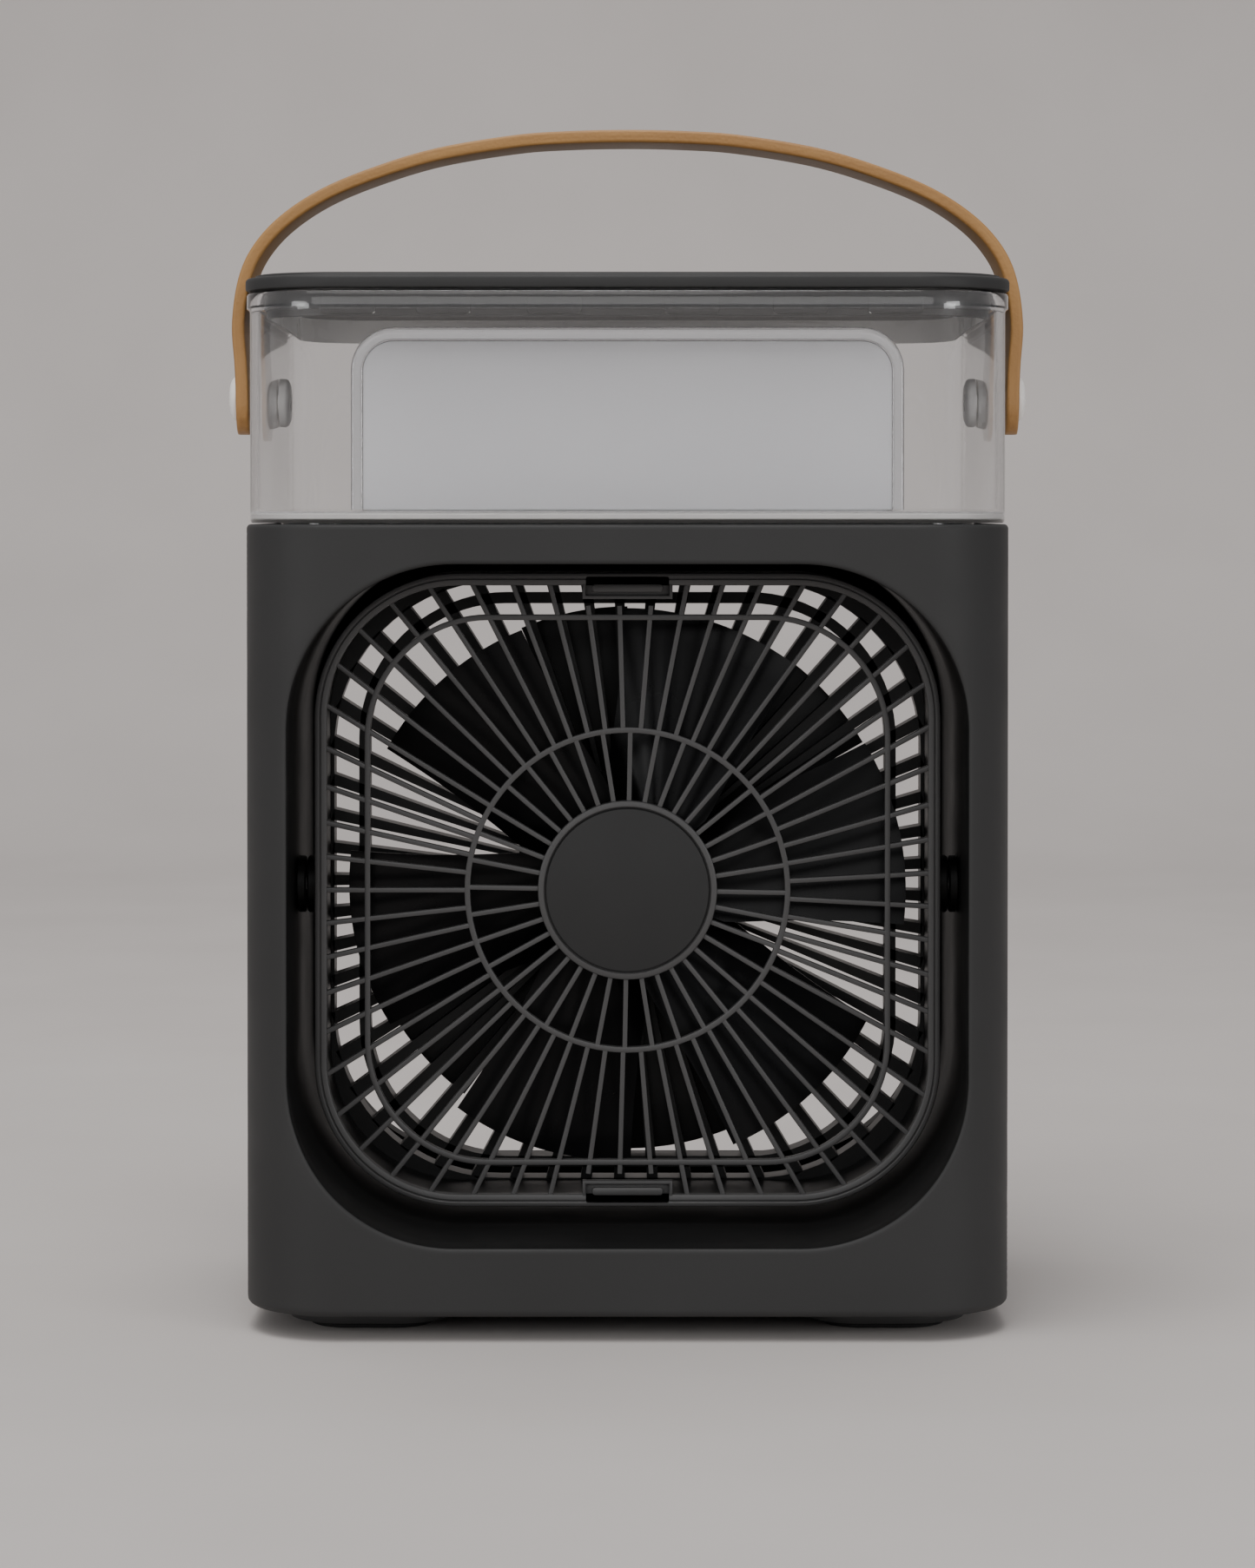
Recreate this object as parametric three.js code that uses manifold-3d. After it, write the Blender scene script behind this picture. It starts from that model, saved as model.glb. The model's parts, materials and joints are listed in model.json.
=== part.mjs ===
import * as THREE from 'three';
import { mergeGeometries, mergeVertices } from 'three/addons/utils/BufferGeometryUtils.js';
import Module from 'manifold-3d';

// Small tabletop cooling fan with a clear water tank and a strap handle.
// Millimetres, +Z up, the front faces -Y, origin at the middle of the underside.

// ---- driving dimensions -------------------------------------------------
const W = 175;                 // housing width
const D = 120;                 // housing depth
const CORNER = 22;             // plan corner radius of the housing
const FOOT_H = 5.7;            // floor to housing
const HOUSING_TOP = 184.7;
const SKIN = 2.2;              // housing wall

const AXIS_Z = 98.5;           // tilt axis and fan axis height
const LIP_X = 77.1;            // half width of the front opening
const LIP_Z = 77.2;            // half height of the front opening
const LIP_R = 38;
const LIP_D = 8;               // depth of the lip at each face
const REAR_X = 73.5;           // the rear opening is a little smaller
const REAR_Z = 73.0;
const REAR_R = 34;
const DUCT_X = 78.7;           // half width of the duct behind the lips
const DUCT_Z = 78.9;
const DUCT_R = 39.5;
const DUCT_T = 1.9;

const POD_X = 73.6;            // half width of the tilting fan unit
const POD_Z = 74.6;            // half height
const POD_R = 34;
const POD_Y = 18;              // half depth
const POD_T = 2.0;             // shroud wall
const GUARD_Y = 10;            // front of the rear guard's bars
const FRAME = 2.9;             // width of the grille frames
const BAR = 1.15;              // width of a radial bar
const RING = 1.35;             // width of a ring bar
const HUB_R = 19.2;            // front disc
const CUP_R = 21.3;            // ring round the disc
const CIRCLE_R = 37.7;         // round ring of the grilles
const SQUARE_X = 61.2;         // half width of the rounded square ring
const SQUARE_Z = 64.2;
const SQUARE_R = 28.5;
const INNER_BARS = 36;
const OUTER_BARS = 57;
const NOTCH_W = 19.2;          // latch pockets, top and bottom
const POCKET_IN = 69.3;        // pocket and latch heights from the axis
const POCKET_OUT = 73.8;
const TAB_IN = 70.1;
const TAB_OUT = 72.0;

const BLADES = 6;
const GAP_ANGLE = -18.5;       // direction of one gap between blades
const TIP_R = 66;
const FAN_HUB_R = 18;
const MOTOR_R = 14;
const SHAFT_R = 1.5;

const TANK_X = 86.7;
const TANK_Y = 59.2;
const TANK_R = 21.2;
const TANK_T = 2.0;
const TANK_Z0 = 185.0;
const TANK_FLOOR = 187.5;
const TANK_TOP = 237.4;
const RIM_Z = 233.7;
const CHAMBER_X = 64;
const CHAMBER_Y = 32;
const CHAMBER_TOP = 230.8;

const LID_Z = 238.0;
const LID_X = 87.7;

const RIVET_Z = 214.5;
const STRAP_W = 20;
const STRAP_T = 3.0;

const FOOT_X = 59;
const FOOT_Y = 33;
const GAP = 0.3;

// ---- materials ----------------------------------------------------------
const COLOURS = {
  charcoal: 0x3c3d3f,
  dark: 0x18191a,
  black: 0x0b0b0c,
  clear: 0xcfd8dc,
  frost: 0xb4bcc4,
  tan: 0xa8763f,
  white: 0xe6e4df,
  steel: 0x9a9da0,
  brass: 0xb08d4a,
  rubber: 0x1a1a1a,
  board: 0x1f5a34,
};

function material(colour) {
  const clear = colour === 'clear';
  return new THREE.MeshStandardMaterial({
    color: COLOURS[colour],
    roughness: colour === 'black' ? 0.25 : 0.6,
    metalness: colour === 'steel' || colour === 'brass' ? 0.9 : 0,
    transparent: clear,
    opacity: clear ? 0.35 : 1,
  });
}

// ---- solids -------------------------------------------------------------
const wasm = await Module();
wasm.setup();

function toSolid(geometry) {
  const plain = new THREE.BufferGeometry();
  plain.setAttribute('position', geometry.getAttribute('position').clone());
  if (geometry.index) plain.setIndex(geometry.index.clone());
  const merged = mergeVertices(plain, 1e-4);
  const index = Array.from(merged.index.array);
  const tris = [];
  for (let i = 0; i < index.length; i += 3) {
    const [a, b, c] = [index[i], index[i + 1], index[i + 2]];
    if (a !== b && b !== c && a !== c) tris.push(a, b, c);
  }
  return new wasm.Manifold(new wasm.Mesh({
    numProp: 3,
    vertProperties: Float32Array.from(merged.getAttribute('position').array),
    triVerts: Uint32Array.from(tris),
  }));
}

function toGeometry(solid) {
  const mesh = solid.getMesh();
  const geometry = new THREE.BufferGeometry();
  geometry.setAttribute('position', new THREE.BufferAttribute(mesh.vertProperties.slice(), 3));
  geometry.setIndex(new THREE.BufferAttribute(mesh.triVerts.slice(), 1));
  geometry.computeVertexNormals();
  return geometry;
}

// Points of a rounded rectangle, anticlockwise, `seg` steps per corner.
function roundRect(halfX, halfY, r, seg = 5) {
  const points = [];
  const corners = [[1, 1, 0], [-1, 1, 90], [-1, -1, 180], [1, -1, 270]];
  for (const [sx, sy, start] of corners) {
    for (let i = 0; i <= seg; i += 1) {
      const a = THREE.MathUtils.degToRad(start + (90 * i) / seg);
      const x = sx * (halfX - r) + r * Math.cos(a);
      const y = sy * (halfY - r) + r * Math.sin(a);
      points.push(new THREE.Vector2(x, y));
    }
  }
  return points;
}

function circle(x, y, r, seg = 16) {
  const points = [];
  for (let i = 0; i < seg; i += 1) {
    const a = (2 * Math.PI * i) / seg;
    points.push(new THREE.Vector2(x + r * Math.cos(a), y + r * Math.sin(a)));
  }
  return points;
}

function moved(points, dx, dy) {
  return points.map((p) => new THREE.Vector2(p.x + dx, p.y + dy));
}

function prism(points, depth, holes = [], bevel = 0) {
  const shape = new THREE.Shape(points);
  for (const hole of holes) shape.holes.push(new THREE.Path(hole));
  return new THREE.ExtrudeGeometry(shape, {
    depth: depth - 2 * bevel,
    bevelEnabled: bevel > 0,
    bevelThickness: bevel,
    bevelSize: bevel,
    bevelOffset: -bevel,
    bevelSegments: 1,
    steps: 1,
    curveSegments: 1,
  }).translate(0, 0, bevel);
}

// Upright prism: outline in X and Y, from z0 to z1.
function upright(points, z0, z1, holes = [], bevel = 0) {
  return toSolid(prism(points, z1 - z0, holes, bevel).translate(0, 0, z0));
}

// Prism along Y: outline in X and height above the fan axis, from y0 to y1.
function along(points, y0, y1, holes = [], bevel = 0, z = AXIS_Z) {
  const geometry = prism(points, y1 - y0, holes, bevel);
  return toSolid(geometry.rotateX(Math.PI / 2).translate(0, y1, z));
}

// Turned solid about Z from [radius, height] pairs, then aimed along `axis`.
function turned(profile, axis, at, seg = 20) {
  const points = profile.map(([r, h]) => new THREE.Vector2(r, h));
  const geometry = new THREE.LatheGeometry(points, seg).rotateX(Math.PI / 2);
  if (axis === 'y') geometry.rotateX(-Math.PI / 2);
  if (axis === 'x') geometry.rotateY(Math.PI / 2);
  return fixOutward(geometry.translate(...at));
}

function fixOutward(geometry) {
  const p = geometry.getAttribute('position');
  const index = geometry.index.array;
  const v = [new THREE.Vector3(), new THREE.Vector3(), new THREE.Vector3()];
  let volume = 0;
  for (let i = 0; i < index.length; i += 3) {
    for (let k = 0; k < 3; k += 1) v[k].fromBufferAttribute(p, index[i + k]);
    volume += v[0].dot(v[1].clone().cross(v[2]));
  }
  if (volume < 0) {
    for (let i = 0; i < index.length; i += 3) {
      [index[i + 1], index[i + 2]] = [index[i + 2], index[i + 1]];
    }
  }
  return toSolid(geometry);
}

// A tube or disc about an axis: outer and inner radius, from h0 to h1.
function washer(outer, inner, h0, h1, axis, at, seg = 20) {
  const solid = [[0, h0], [outer, h0], [outer, h1], [0, h1]];
  const ring = [[inner, h0], [outer, h0], [outer, h1], [inner, h1], [inner, h0]];
  return turned(inner > 0 ? ring : solid, axis, at, seg);
}

function block(x0, x1, y0, y1, z0, z1) {
  const geometry = new THREE.BoxGeometry(x1 - x0, y1 - y0, z1 - z0);
  return toSolid(geometry.translate((x0 + x1) / 2, (y0 + y1) / 2, (z0 + z1) / 2));
}

const fan = new THREE.Group();
fan.name = 'tank_cooler_fan';

function add(name, solid, colour) {
  const mesh = new THREE.Mesh(toGeometry(solid), material(colour));
  mesh.name = name;
  fan.add(mesh);
}

// ---- housing ------------------------------------------------------------
const BASE_Z = 8.4;
const SCREW_X = 70;
const SCREW_Y = 44;
const BUTTON_Z = 13;
const BUTTON_X = [-14, 0, 14];
const SOCKET_X = 38;

function makeHousing() {
  let body = upright(roundRect(W / 2, D / 2, CORNER, 6), FOOT_H, HOUSING_TOP, [], 1.2);
  const hollow = roundRect(W / 2 - SKIN, D / 2 - SKIN, CORNER - SKIN, 6);
  const duct = roundRect(DUCT_X + DUCT_T, DUCT_Z + DUCT_T, DUCT_R + DUCT_T, 6);
  body = body.subtract(upright(hollow, 0, HOUSING_TOP - 2.5).subtract(along(duct, -D, D)));
  for (const x of [-SCREW_X, SCREW_X]) {
    for (const y of [-SCREW_Y, SCREW_Y]) {
      body = body.add(upright(circle(x, y, 3.6, 10), BASE_Z + GAP, 34));
    }
  }
  body = body.subtract(along(roundRect(DUCT_X, DUCT_Z, DUCT_R, 6), -D / 2 + LIP_D, D / 2 - LIP_D));
  body = body.subtract(along(roundRect(LIP_X, LIP_Z, LIP_R, 6), -D, 0));
  body = body.subtract(along(roundRect(REAR_X, REAR_Z, REAR_R, 6), -1, D));
  for (const x of [-SCREW_X, SCREW_X]) {
    for (const y of [-SCREW_Y, SCREW_Y]) {
      body = body.subtract(upright(circle(x, y, 1.7, 8), 0, 21));
    }
  }
  for (const side of [-1, 1]) {
    body = body.subtract(washer(5.3, 0, 74, 82, 'x', [side > 0 ? 0 : -156, 0, AXIS_Z], 16));
  }
  for (const x of BUTTON_X) {
    body = body.subtract(washer(3.3, 0, 50, 70, 'y', [x, 0, BUTTON_Z], 14));
  }
  const slot = moved(roundRect(4.8, 1.9, 1.8, 3), SOCKET_X, 0);
  body = body.subtract(along(slot, 50, 70, [], 0, BUTTON_Z));
  const well = roundRect(80, 52.5, 16, 3);
  body = body.subtract(upright(well, HOUSING_TOP - 1.2, HOUSING_TOP + 1));
  return body;
}
add('housing', makeHousing(), 'charcoal');

function makeBasePlate() {
  const inset = SKIN + GAP;
  const outline = roundRect(W / 2 - inset, D / 2 - inset, CORNER - inset, 6);
  const holes = [];
  for (const x of [-SCREW_X, SCREW_X]) {
    for (const y of [-SCREW_Y, SCREW_Y]) holes.push(circle(x, y, 1.9, 10));
  }
  for (const x of [-FOOT_X, FOOT_X]) {
    for (const y of [-FOOT_Y, FOOT_Y]) holes.push(circle(x, y, 3.3, 10));
  }
  let plate = upright(outline, FOOT_H + 0.3, BASE_Z, holes);
  for (const x of [-14, 45]) {
    plate = plate.add(upright(circle(x, 40, 2.2, 8), BASE_Z - 0.5, 9.6));
  }
  return plate;
}
add('base_plate', makeBasePlate(), 'dark');

const CORNERS = [
  ['front_left', -1, -1],
  ['front_right', 1, -1],
  ['rear_left', -1, 1],
  ['rear_right', 1, 1],
];

for (const [name, sx, sy] of CORNERS) {
  const screw = washer(3.2, 0, 4.4, 5.7, 'z', [sx * SCREW_X, sy * SCREW_Y, 0], 12);
  const shank = washer(1.4, 0, 5.5, 18, 'z', [sx * SCREW_X, sy * SCREW_Y, 0], 8);
  add(`base_screw_${name}`, screw.add(shank), 'steel');

  // Each foot has a stud through the base plate and a pocket for its pad.
  const outline = moved(roundRect(19.5, 14, 13.5, 5), sx * FOOT_X, sy * FOOT_Y);
  let foot = upright(outline, 1.6, FOOT_H, [], 0.9);
  const relief = washer(4.2, 0, 3.9, 9, 'z', [sx * SCREW_X, sy * SCREW_Y, 0], 12);
  foot = foot.subtract(relief);
  foot = foot.add(washer(3, 0, 5, 9.2, 'z', [sx * FOOT_X, sy * FOOT_Y, 0], 10));
  const pocket = moved(roundRect(14.9, 10.4, 10, 4), sx * FOOT_X, sy * FOOT_Y);
  foot = foot.subtract(upright(pocket, 0, 2.9));
  add(`foot_${name}`, foot, 'dark');

  const pad = moved(roundRect(14.5, 10, 9.6, 4), sx * FOOT_X, sy * FOOT_Y);
  add(`foot_pad_${name}`, upright(pad, 0, 2.6), 'rubber');
}

// ---- controls on the rear face ------------------------------------------
add('control_board', block(-24, 50, 34, 52, 9.9, 11.5), 'board');
BUTTON_X.forEach((x, i) => {
  const cap = washer(3.0, 0, 55.2, D / 2, 'y', [x, 0, BUTTON_Z], 14);
  const flange = washer(4.0, 0, 54.6, 56.0, 'y', [x, 0, BUTTON_Z], 14);
  add(`button_${i + 1}`, cap.add(flange), 'dark');
});
const shell = moved(roundRect(4.5, 1.6, 1.5, 3), SOCKET_X, 0);
const mouth = moved(roundRect(4.1, 1.2, 1.1, 3), SOCKET_X, 0);
const socket = along(shell, 52.4, D / 2 - 0.4, [], 0, BUTTON_Z);
add('power_socket', socket.subtract(along(mouth, 54, 70, [], 0, BUTTON_Z)), 'steel');

// ---- tilt bearings ------------------------------------------------------
for (const [name, side] of [['left', -1], ['right', 1]]) {
  const along_x = (outer, inner, x0, x1, seg) => {
    const [a, b] = side > 0 ? [x0, x1] : [-x1, -x0];
    return washer(outer, inner, a, b, 'x', [0, 0, AXIS_Z], seg);
  };
  const flange = along_x(6.8, 3.3, 76.6, 78.4, 20);
  add(`pivot_bushing_${name}`, flange.add(along_x(5.0, 3.3, 78.2, 83, 20)), 'dark');
  const pin = along_x(4.3, 0, 71.7, 73.4, 16).add(along_x(3.25, 0, 73.3, 82.4, 16));
  add(`pivot_pin_${name}`, pin, 'steel');
}

// ---- tilting unit: grilles ----------------------------------------------
// Where a ray from the centre meets a rounded rectangle.
function rayToRect(halfX, halfZ, r, a) {
  const dir = new THREE.Vector2(Math.cos(a), Math.sin(a));
  const [ax, az] = [Math.abs(dir.x), Math.abs(dir.y)];
  let t = Math.min(halfX / Math.max(ax, 1e-9), halfZ / Math.max(az, 1e-9));
  const [cx, cz] = [halfX - r, halfZ - r];
  if (t * ax > cx && t * az > cz) {
    const b = ax * cx + az * cz;
    t = b + Math.sqrt(Math.max(b * b - (cx * cx + cz * cz - r * r), 0));
  }
  return dir.multiplyScalar(t);
}

// One window between two radial bars, from an inner ring to an outer ring.
function gridWindow(a0, a1, inner, outer, bar, steps) {
  const near = [];
  const far = [];
  for (let i = 0; i <= steps; i += 1) {
    const a = a0 + ((a1 - a0) * i) / steps;
    const side = i === 0 ? 1 : i === steps ? -1 : 0;
    for (const [edge, list] of [[inner, near], [outer, far]]) {
      const radius = edge(a).length();
      const wide = typeof bar === 'function' ? bar(radius) : bar;
      const shift = side * Math.asin(Math.min(wide / 2 / radius, 0.9));
      list.push(edge(a + shift));
    }
  }
  return near.reverse().concat(far);
}

const onCircle = (r) => (a) => new THREE.Vector2(r * Math.cos(a), r * Math.sin(a));
const onRect = (x, z, r) => (a) => rayToRect(x, z, r, a);

function gridWindows(count, phase, inner, outer, bar, steps) {
  const windows = [];
  for (let i = 0; i < count; i += 1) {
    const a0 = phase + (2 * Math.PI * i) / count;
    windows.push(gridWindow(a0, a0 + (2 * Math.PI) / count, inner, outer, bar, steps));
  }
  return windows;
}

const DEG = Math.PI / 180;
const half = RING / 2;
const squareIn = onRect(SQUARE_X - half, SQUARE_Z - half, SQUARE_R - half);
const squareOut = onRect(SQUARE_X + half, SQUARE_Z + half, SQUARE_R + half);
const frameIn = onRect(POD_X - FRAME, POD_Z - FRAME, POD_R - FRAME);

function grilleWindows(coreR, innerBars, outerBars, phaseIn, phaseOut, bar) {
  return [
    ...gridWindows(innerBars, phaseIn, onCircle(coreR), onCircle(CIRCLE_R - half), bar, 1),
    ...gridWindows(outerBars, phaseOut, onCircle(CIRCLE_R + half), squareIn, bar, 1),
    ...gridWindows(outerBars, phaseOut, squareOut, frameIn, bar, 1),
  ];
}

function cutWindows(plate, windows, y0, y1) {
  const cutters = windows.map((w) => prism(w, y1 - y0));
  const geometry = mergeGeometries(cutters).rotateX(Math.PI / 2).translate(0, y1, AXIS_Z);
  return plate.subtract(toSolid(geometry));
}

function makeFrontGrille() {
  const outline = roundRect(POD_X, POD_Z, POD_R, 8);
  const windows = grilleWindows(CUP_R, INNER_BARS, OUTER_BARS, -DEG, 91.6 * DEG, BAR);
  let grille = cutWindows(along(outline, -17.4, -15.3), windows, -19, -14);
  const rim = roundRect(POD_X - FRAME + 0.3, POD_Z - FRAME + 0.3, POD_R - FRAME + 0.3, 8);
  grille = grille.add(along(outline, -POD_Y, -15.4).subtract(along(rim, -19, -14)));
  grille = grille.add(washer(CUP_R - 0.2, 0, -POD_Y, -15.3, 'y', [0, 0, AXIS_Z], 36));
  grille = grille.subtract(washer(HUB_R + 0.4, 0, -19, -16.5, 'y', [0, 0, AXIS_Z], 36));
  // A pocket for each latch; the bars stop short of it.
  for (const side of [-1, 1]) {
    const band = (w, y0, y1, h0, h1) => {
      const [lo, hi] = side > 0 ? [h0, h1] : [-h1, -h0];
      return block(-w, w, y0, y1, AXIS_Z + lo, AXIS_Z + hi);
    };
    const w = NOTCH_W / 2;
    grille = grille.subtract(band(w, -19, -14, SQUARE_Z + 1.5, POCKET_IN - 0.8));
    grille = grille.add(band(w + 0.8, -POD_Y, -15.3, POCKET_IN - 0.8, POD_Z - 0.5));
    grille = grille.subtract(band(w, -19, -16.4, POCKET_IN, POCKET_OUT));
  }
  return grille;
}
add('front_grille', makeFrontGrille(), 'charcoal');
add('front_disc', washer(HUB_R, 0, -17.9, -16.8, 'y', [0, 0, AXIS_Z], 36), 'charcoal');

for (const [name, side] of [['top', 1], ['bottom', -1]]) {
  const [lo, hi] = side > 0 ? [TAB_IN, TAB_OUT] : [-TAB_OUT, -TAB_IN];
  add(`grille_latch_${name}`, block(-8.3, 8.3, -17.9, -16.7, AXIS_Z + lo, AXIS_Z + hi), 'charcoal');
}

function makeShroud() {
  let shroud = along(roundRect(POD_X, POD_Z, POD_R, 8), -15.0, GUARD_Y - GAP);
  const inside = roundRect(POD_X - POD_T, POD_Z - POD_T, POD_R - POD_T, 8);
  shroud = shroud.subtract(along(inside, -20, 20));
  for (const side of [-1, 1]) {
    const [a, b] = side > 0 ? [POD_X - 1, 76.3] : [-76.3, -POD_X + 1];
    shroud = shroud.add(washer(6.85, 0, a, b, 'x', [0, 0, AXIS_Z], 20));
    const [c, d] = side > 0 ? [70, 80] : [-80, -70];
    shroud = shroud.subtract(washer(3.45, 0, c, d, 'x', [0, 0, AXIS_Z], 16));
    const [e, f] = side > 0 ? [70, 73.6] : [-73.6, -70];
    shroud = shroud.subtract(washer(4.6, 0, e, f, 'x', [0, 0, AXIS_Z], 16));
  }
  return shroud;
}
add('fan_shroud', makeShroud(), 'charcoal');

// The rear guard has deep thin bars. Four wide arms behind them carry the motor's seat.
const ARMS = [1, 2, 4, 5].map((i) => GAP_ANGLE + 60 * i);
const ARM_HALF = 11.5;
const ARM_R = 66;
const GUARD_X = 63.5;           // the rear guard's square ring
const GUARD_Z = 68.2;
const GUARD_R = 34;
const SEAT_R = 26;

function makeRearGuard() {
  const outline = roundRect(POD_X, POD_Z, POD_R, 8);
  const wide = 2.6 / 2;
  const ringIn = onRect(GUARD_X - wide, GUARD_Z - wide, GUARD_R - wide);
  const ringOut = onRect(GUARD_X + wide, GUARD_Z + wide, GUARD_R + wide);
  const edge = onRect(70.8, 72.2, 40);
  const fin = (radius) => 0.036 * radius;
  const windows = [
    ...gridWindows(OUTER_BARS, 91.6 * DEG, onCircle(SEAT_R + 1), ringIn, fin, 1),
    ...gridWindows(OUTER_BARS, 91.6 * DEG, ringOut, edge, fin, 1),
  ];
  let guard = cutWindows(along(outline, GUARD_Y, POD_Y), windows, 0, 30);
  for (const arm of ARMS) {
    const points = [];
    for (const [r, way] of [[SEAT_R - 2, 1], [ARM_R, -1]]) {
      for (const k of [-1, 0, 1]) {
        const a = (arm + way * k * ARM_HALF) * DEG;
        points.push(new THREE.Vector2(r * Math.cos(a), r * Math.sin(a)));
      }
    }
    guard = guard.add(along(points, 15.8, POD_Y));
  }
  return guard.subtract(washer(SEAT_R - 3, 0, 5, 15.6, 'y', [0, 0, AXIS_Z], 32));
}
add('rear_guard', makeRearGuard(), 'dark');

// ---- motor and fan wheel ------------------------------------------------
const HUB = [0, 0, AXIS_Z];
const can = washer(MOTOR_R, MOTOR_R - 1, -2.2, 14, 'y', HUB, 24)
  .add(washer(MOTOR_R, 3.3, 13.8, 15.2, 'y', HUB, 24))
  .add(washer(5, 3.3, 10.5, 14, 'y', HUB, 20));
add('motor_can', can, 'steel');
const cap = washer(MOTOR_R, 3.3, -4, -2.5, 'y', HUB, 24)
  .add(washer(MOTOR_R - 1.3, 3.3, -2.6, -0.8, 'y', HUB, 24));
add('motor_end_cap', cap, 'dark');
add('motor_bearing_front', washer(3.2, SHAFT_R + 0.05, -3.9, -0.9, 'y', HUB, 20), 'brass');
add('motor_bearing_rear', washer(3.2, SHAFT_R + 0.05, 11, 15, 'y', HUB, 20), 'brass');
add('motor_rotor', washer(10.5, SHAFT_R + 0.1, 0, 9.8, 'y', HUB, 20), 'steel');
add('motor_shaft', washer(SHAFT_R, 0, -14.4, 14.8, 'y', HUB, 14), 'steel');

// One blade: a grid of points on the front skin, the same set back for the rear.
function makeBlade(index) {
  const [nr, na] = [5, 5];
  const gapAt = (GAP_ANGLE + 60 * index) * DEG;
  const positions = [];
  for (const back of [0, 1.3]) {
    for (let i = 0; i <= nr; i += 1) {
      const f = i / nr;
      const r = FAN_HUB_R - 0.8 + (TIP_R - FAN_HUB_R + 0.8) * f;
      const open = 23 * (1 - Math.exp(-(r - 26) / 14));
      const width = Math.min(60 - open, 62) * DEG;
      const start = gapAt + 30 * DEG - width / 2;
      for (let j = 0; j <= na; j += 1) {
        const u = j / na;
        const a = start + width * u;
        const y = -11 + 10.2 * u - 1.2 * Math.sin(Math.PI * u) + back;
        positions.push(r * Math.cos(a), y, r * Math.sin(a));
      }
    }
  }
  const at = (b, i, j) => b * (nr + 1) * (na + 1) + i * (na + 1) + j;
  const faces = [];
  const quad = (a, b, c, d) => faces.push(a, b, c, a, c, d);
  for (let i = 0; i < nr; i += 1) {
    for (let j = 0; j < na; j += 1) {
      quad(at(0, i, j), at(0, i + 1, j), at(0, i + 1, j + 1), at(0, i, j + 1));
      quad(at(1, i, j), at(1, i, j + 1), at(1, i + 1, j + 1), at(1, i + 1, j));
    }
    quad(at(0, i, 0), at(1, i, 0), at(1, i + 1, 0), at(0, i + 1, 0));
    quad(at(0, i + 1, na), at(1, i + 1, na), at(1, i, na), at(0, i, na));
  }
  for (let j = 0; j < na; j += 1) {
    quad(at(0, 0, j + 1), at(1, 0, j + 1), at(1, 0, j), at(0, 0, j));
    quad(at(0, nr, j), at(1, nr, j), at(1, nr, j + 1), at(0, nr, j + 1));
  }
  const geometry = new THREE.BufferGeometry();
  geometry.setAttribute('position', new THREE.Float32BufferAttribute(positions, 3));
  geometry.setIndex(faces);
  return fixOutward(geometry.translate(0, 0, AXIS_Z));
}

let wheel = washer(FAN_HUB_R, 0, -12.5, 1, 'y', HUB, 36)
  .subtract(washer(16, 0, -10.5, 2, 'y', HUB, 36))
  .add(washer(4, 0, -11, -5.5, 'y', HUB, 20));
for (let i = 0; i < BLADES; i += 1) {
  wheel = wheel.add(makeBlade(i).subtract(washer(17, 0, -14, 4, 'y', HUB, 36)));
}
add('fan_wheel', wheel.subtract(washer(SHAFT_R + 0.1, 0, -20, 10, 'y', HUB, 20)), 'black');
add('fan_nut', washer(3.4, SHAFT_R + 0.1, -14.7, -12.8, 'y', HUB, 12), 'dark');

// ---- water tank ---------------------------------------------------------
let tank = upright(roundRect(TANK_X, TANK_Y, TANK_R, 6), TANK_Z0, TANK_TOP);
tank = tank.add(upright(roundRect(LID_X - 0.3, TANK_Y + 0.7, TANK_R + 0.7, 6), RIM_Z, TANK_TOP));
tank = tank.add(upright(roundRect(79.6, 52.1, 15.6, 3), HOUSING_TOP - 0.9, TANK_Z0 + 0.5));
const tankInside = roundRect(TANK_X - TANK_T, TANK_Y - TANK_T, TANK_R - TANK_T, 6);
tank = tank.subtract(upright(tankInside, TANK_FLOOR, TANK_TOP + 1));
for (const side of [-1, 1]) {
  const [a, b] = side > 0 ? [80, 92] : [-92, -80];
  tank = tank.subtract(washer(2.3, 0, a, b, 'x', [0, 0, RIVET_Z], 12));
}
add('water_tank', tank, 'clear');

function arch(halfX, z0, z1, r) {
  const points = [new THREE.Vector2(-halfX, z0), new THREE.Vector2(halfX, z0)];
  for (let i = 0; i <= 5; i += 1) {
    const a = (i / 5) * 90 * DEG;
    points.push(new THREE.Vector2(halfX - r + r * Math.cos(a), z1 - r + r * Math.sin(a)));
  }
  for (let i = 0; i <= 5; i += 1) {
    const a = (90 + (i / 5) * 90) * DEG;
    points.push(new THREE.Vector2(-halfX + r + r * Math.cos(a), z1 - r + r * Math.sin(a)));
  }
  return points;
}
const chamber = along(arch(CHAMBER_X, TANK_FLOOR + GAP, CHAMBER_TOP, 10), -CHAMBER_Y, CHAMBER_Y, [], 0, 0)
  .subtract(along(arch(CHAMBER_X - 3, 180, CHAMBER_TOP - 3.4, 7), -40, 40, [], 0, 0));
add('chamber_frame', chamber, 'clear');
for (const [name, y0] of [['front', -CHAMBER_Y + 0.4], ['rear', CHAMBER_Y - 2.2]]) {
  const outline = arch(CHAMBER_X - 3.3, TANK_FLOOR + GAP, CHAMBER_TOP - 3.7, 6.7);
  add(`chamber_panel_${name}`, along(outline, y0, y0 + 1.8, [], 0, 0), 'frost');
}

// ---- lid ----------------------------------------------------------------
const lid = upright(roundRect(LID_X, D / 2, CORNER + 0.2, 6), LID_Z, 240.9, [], 0.5)
  .add(upright(roundRect(LID_X - 2, D / 2 - 2, CORNER - 1.8, 6), 240.5, 241.6, [], 0.3));
add('lid', lid, 'charcoal');

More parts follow.
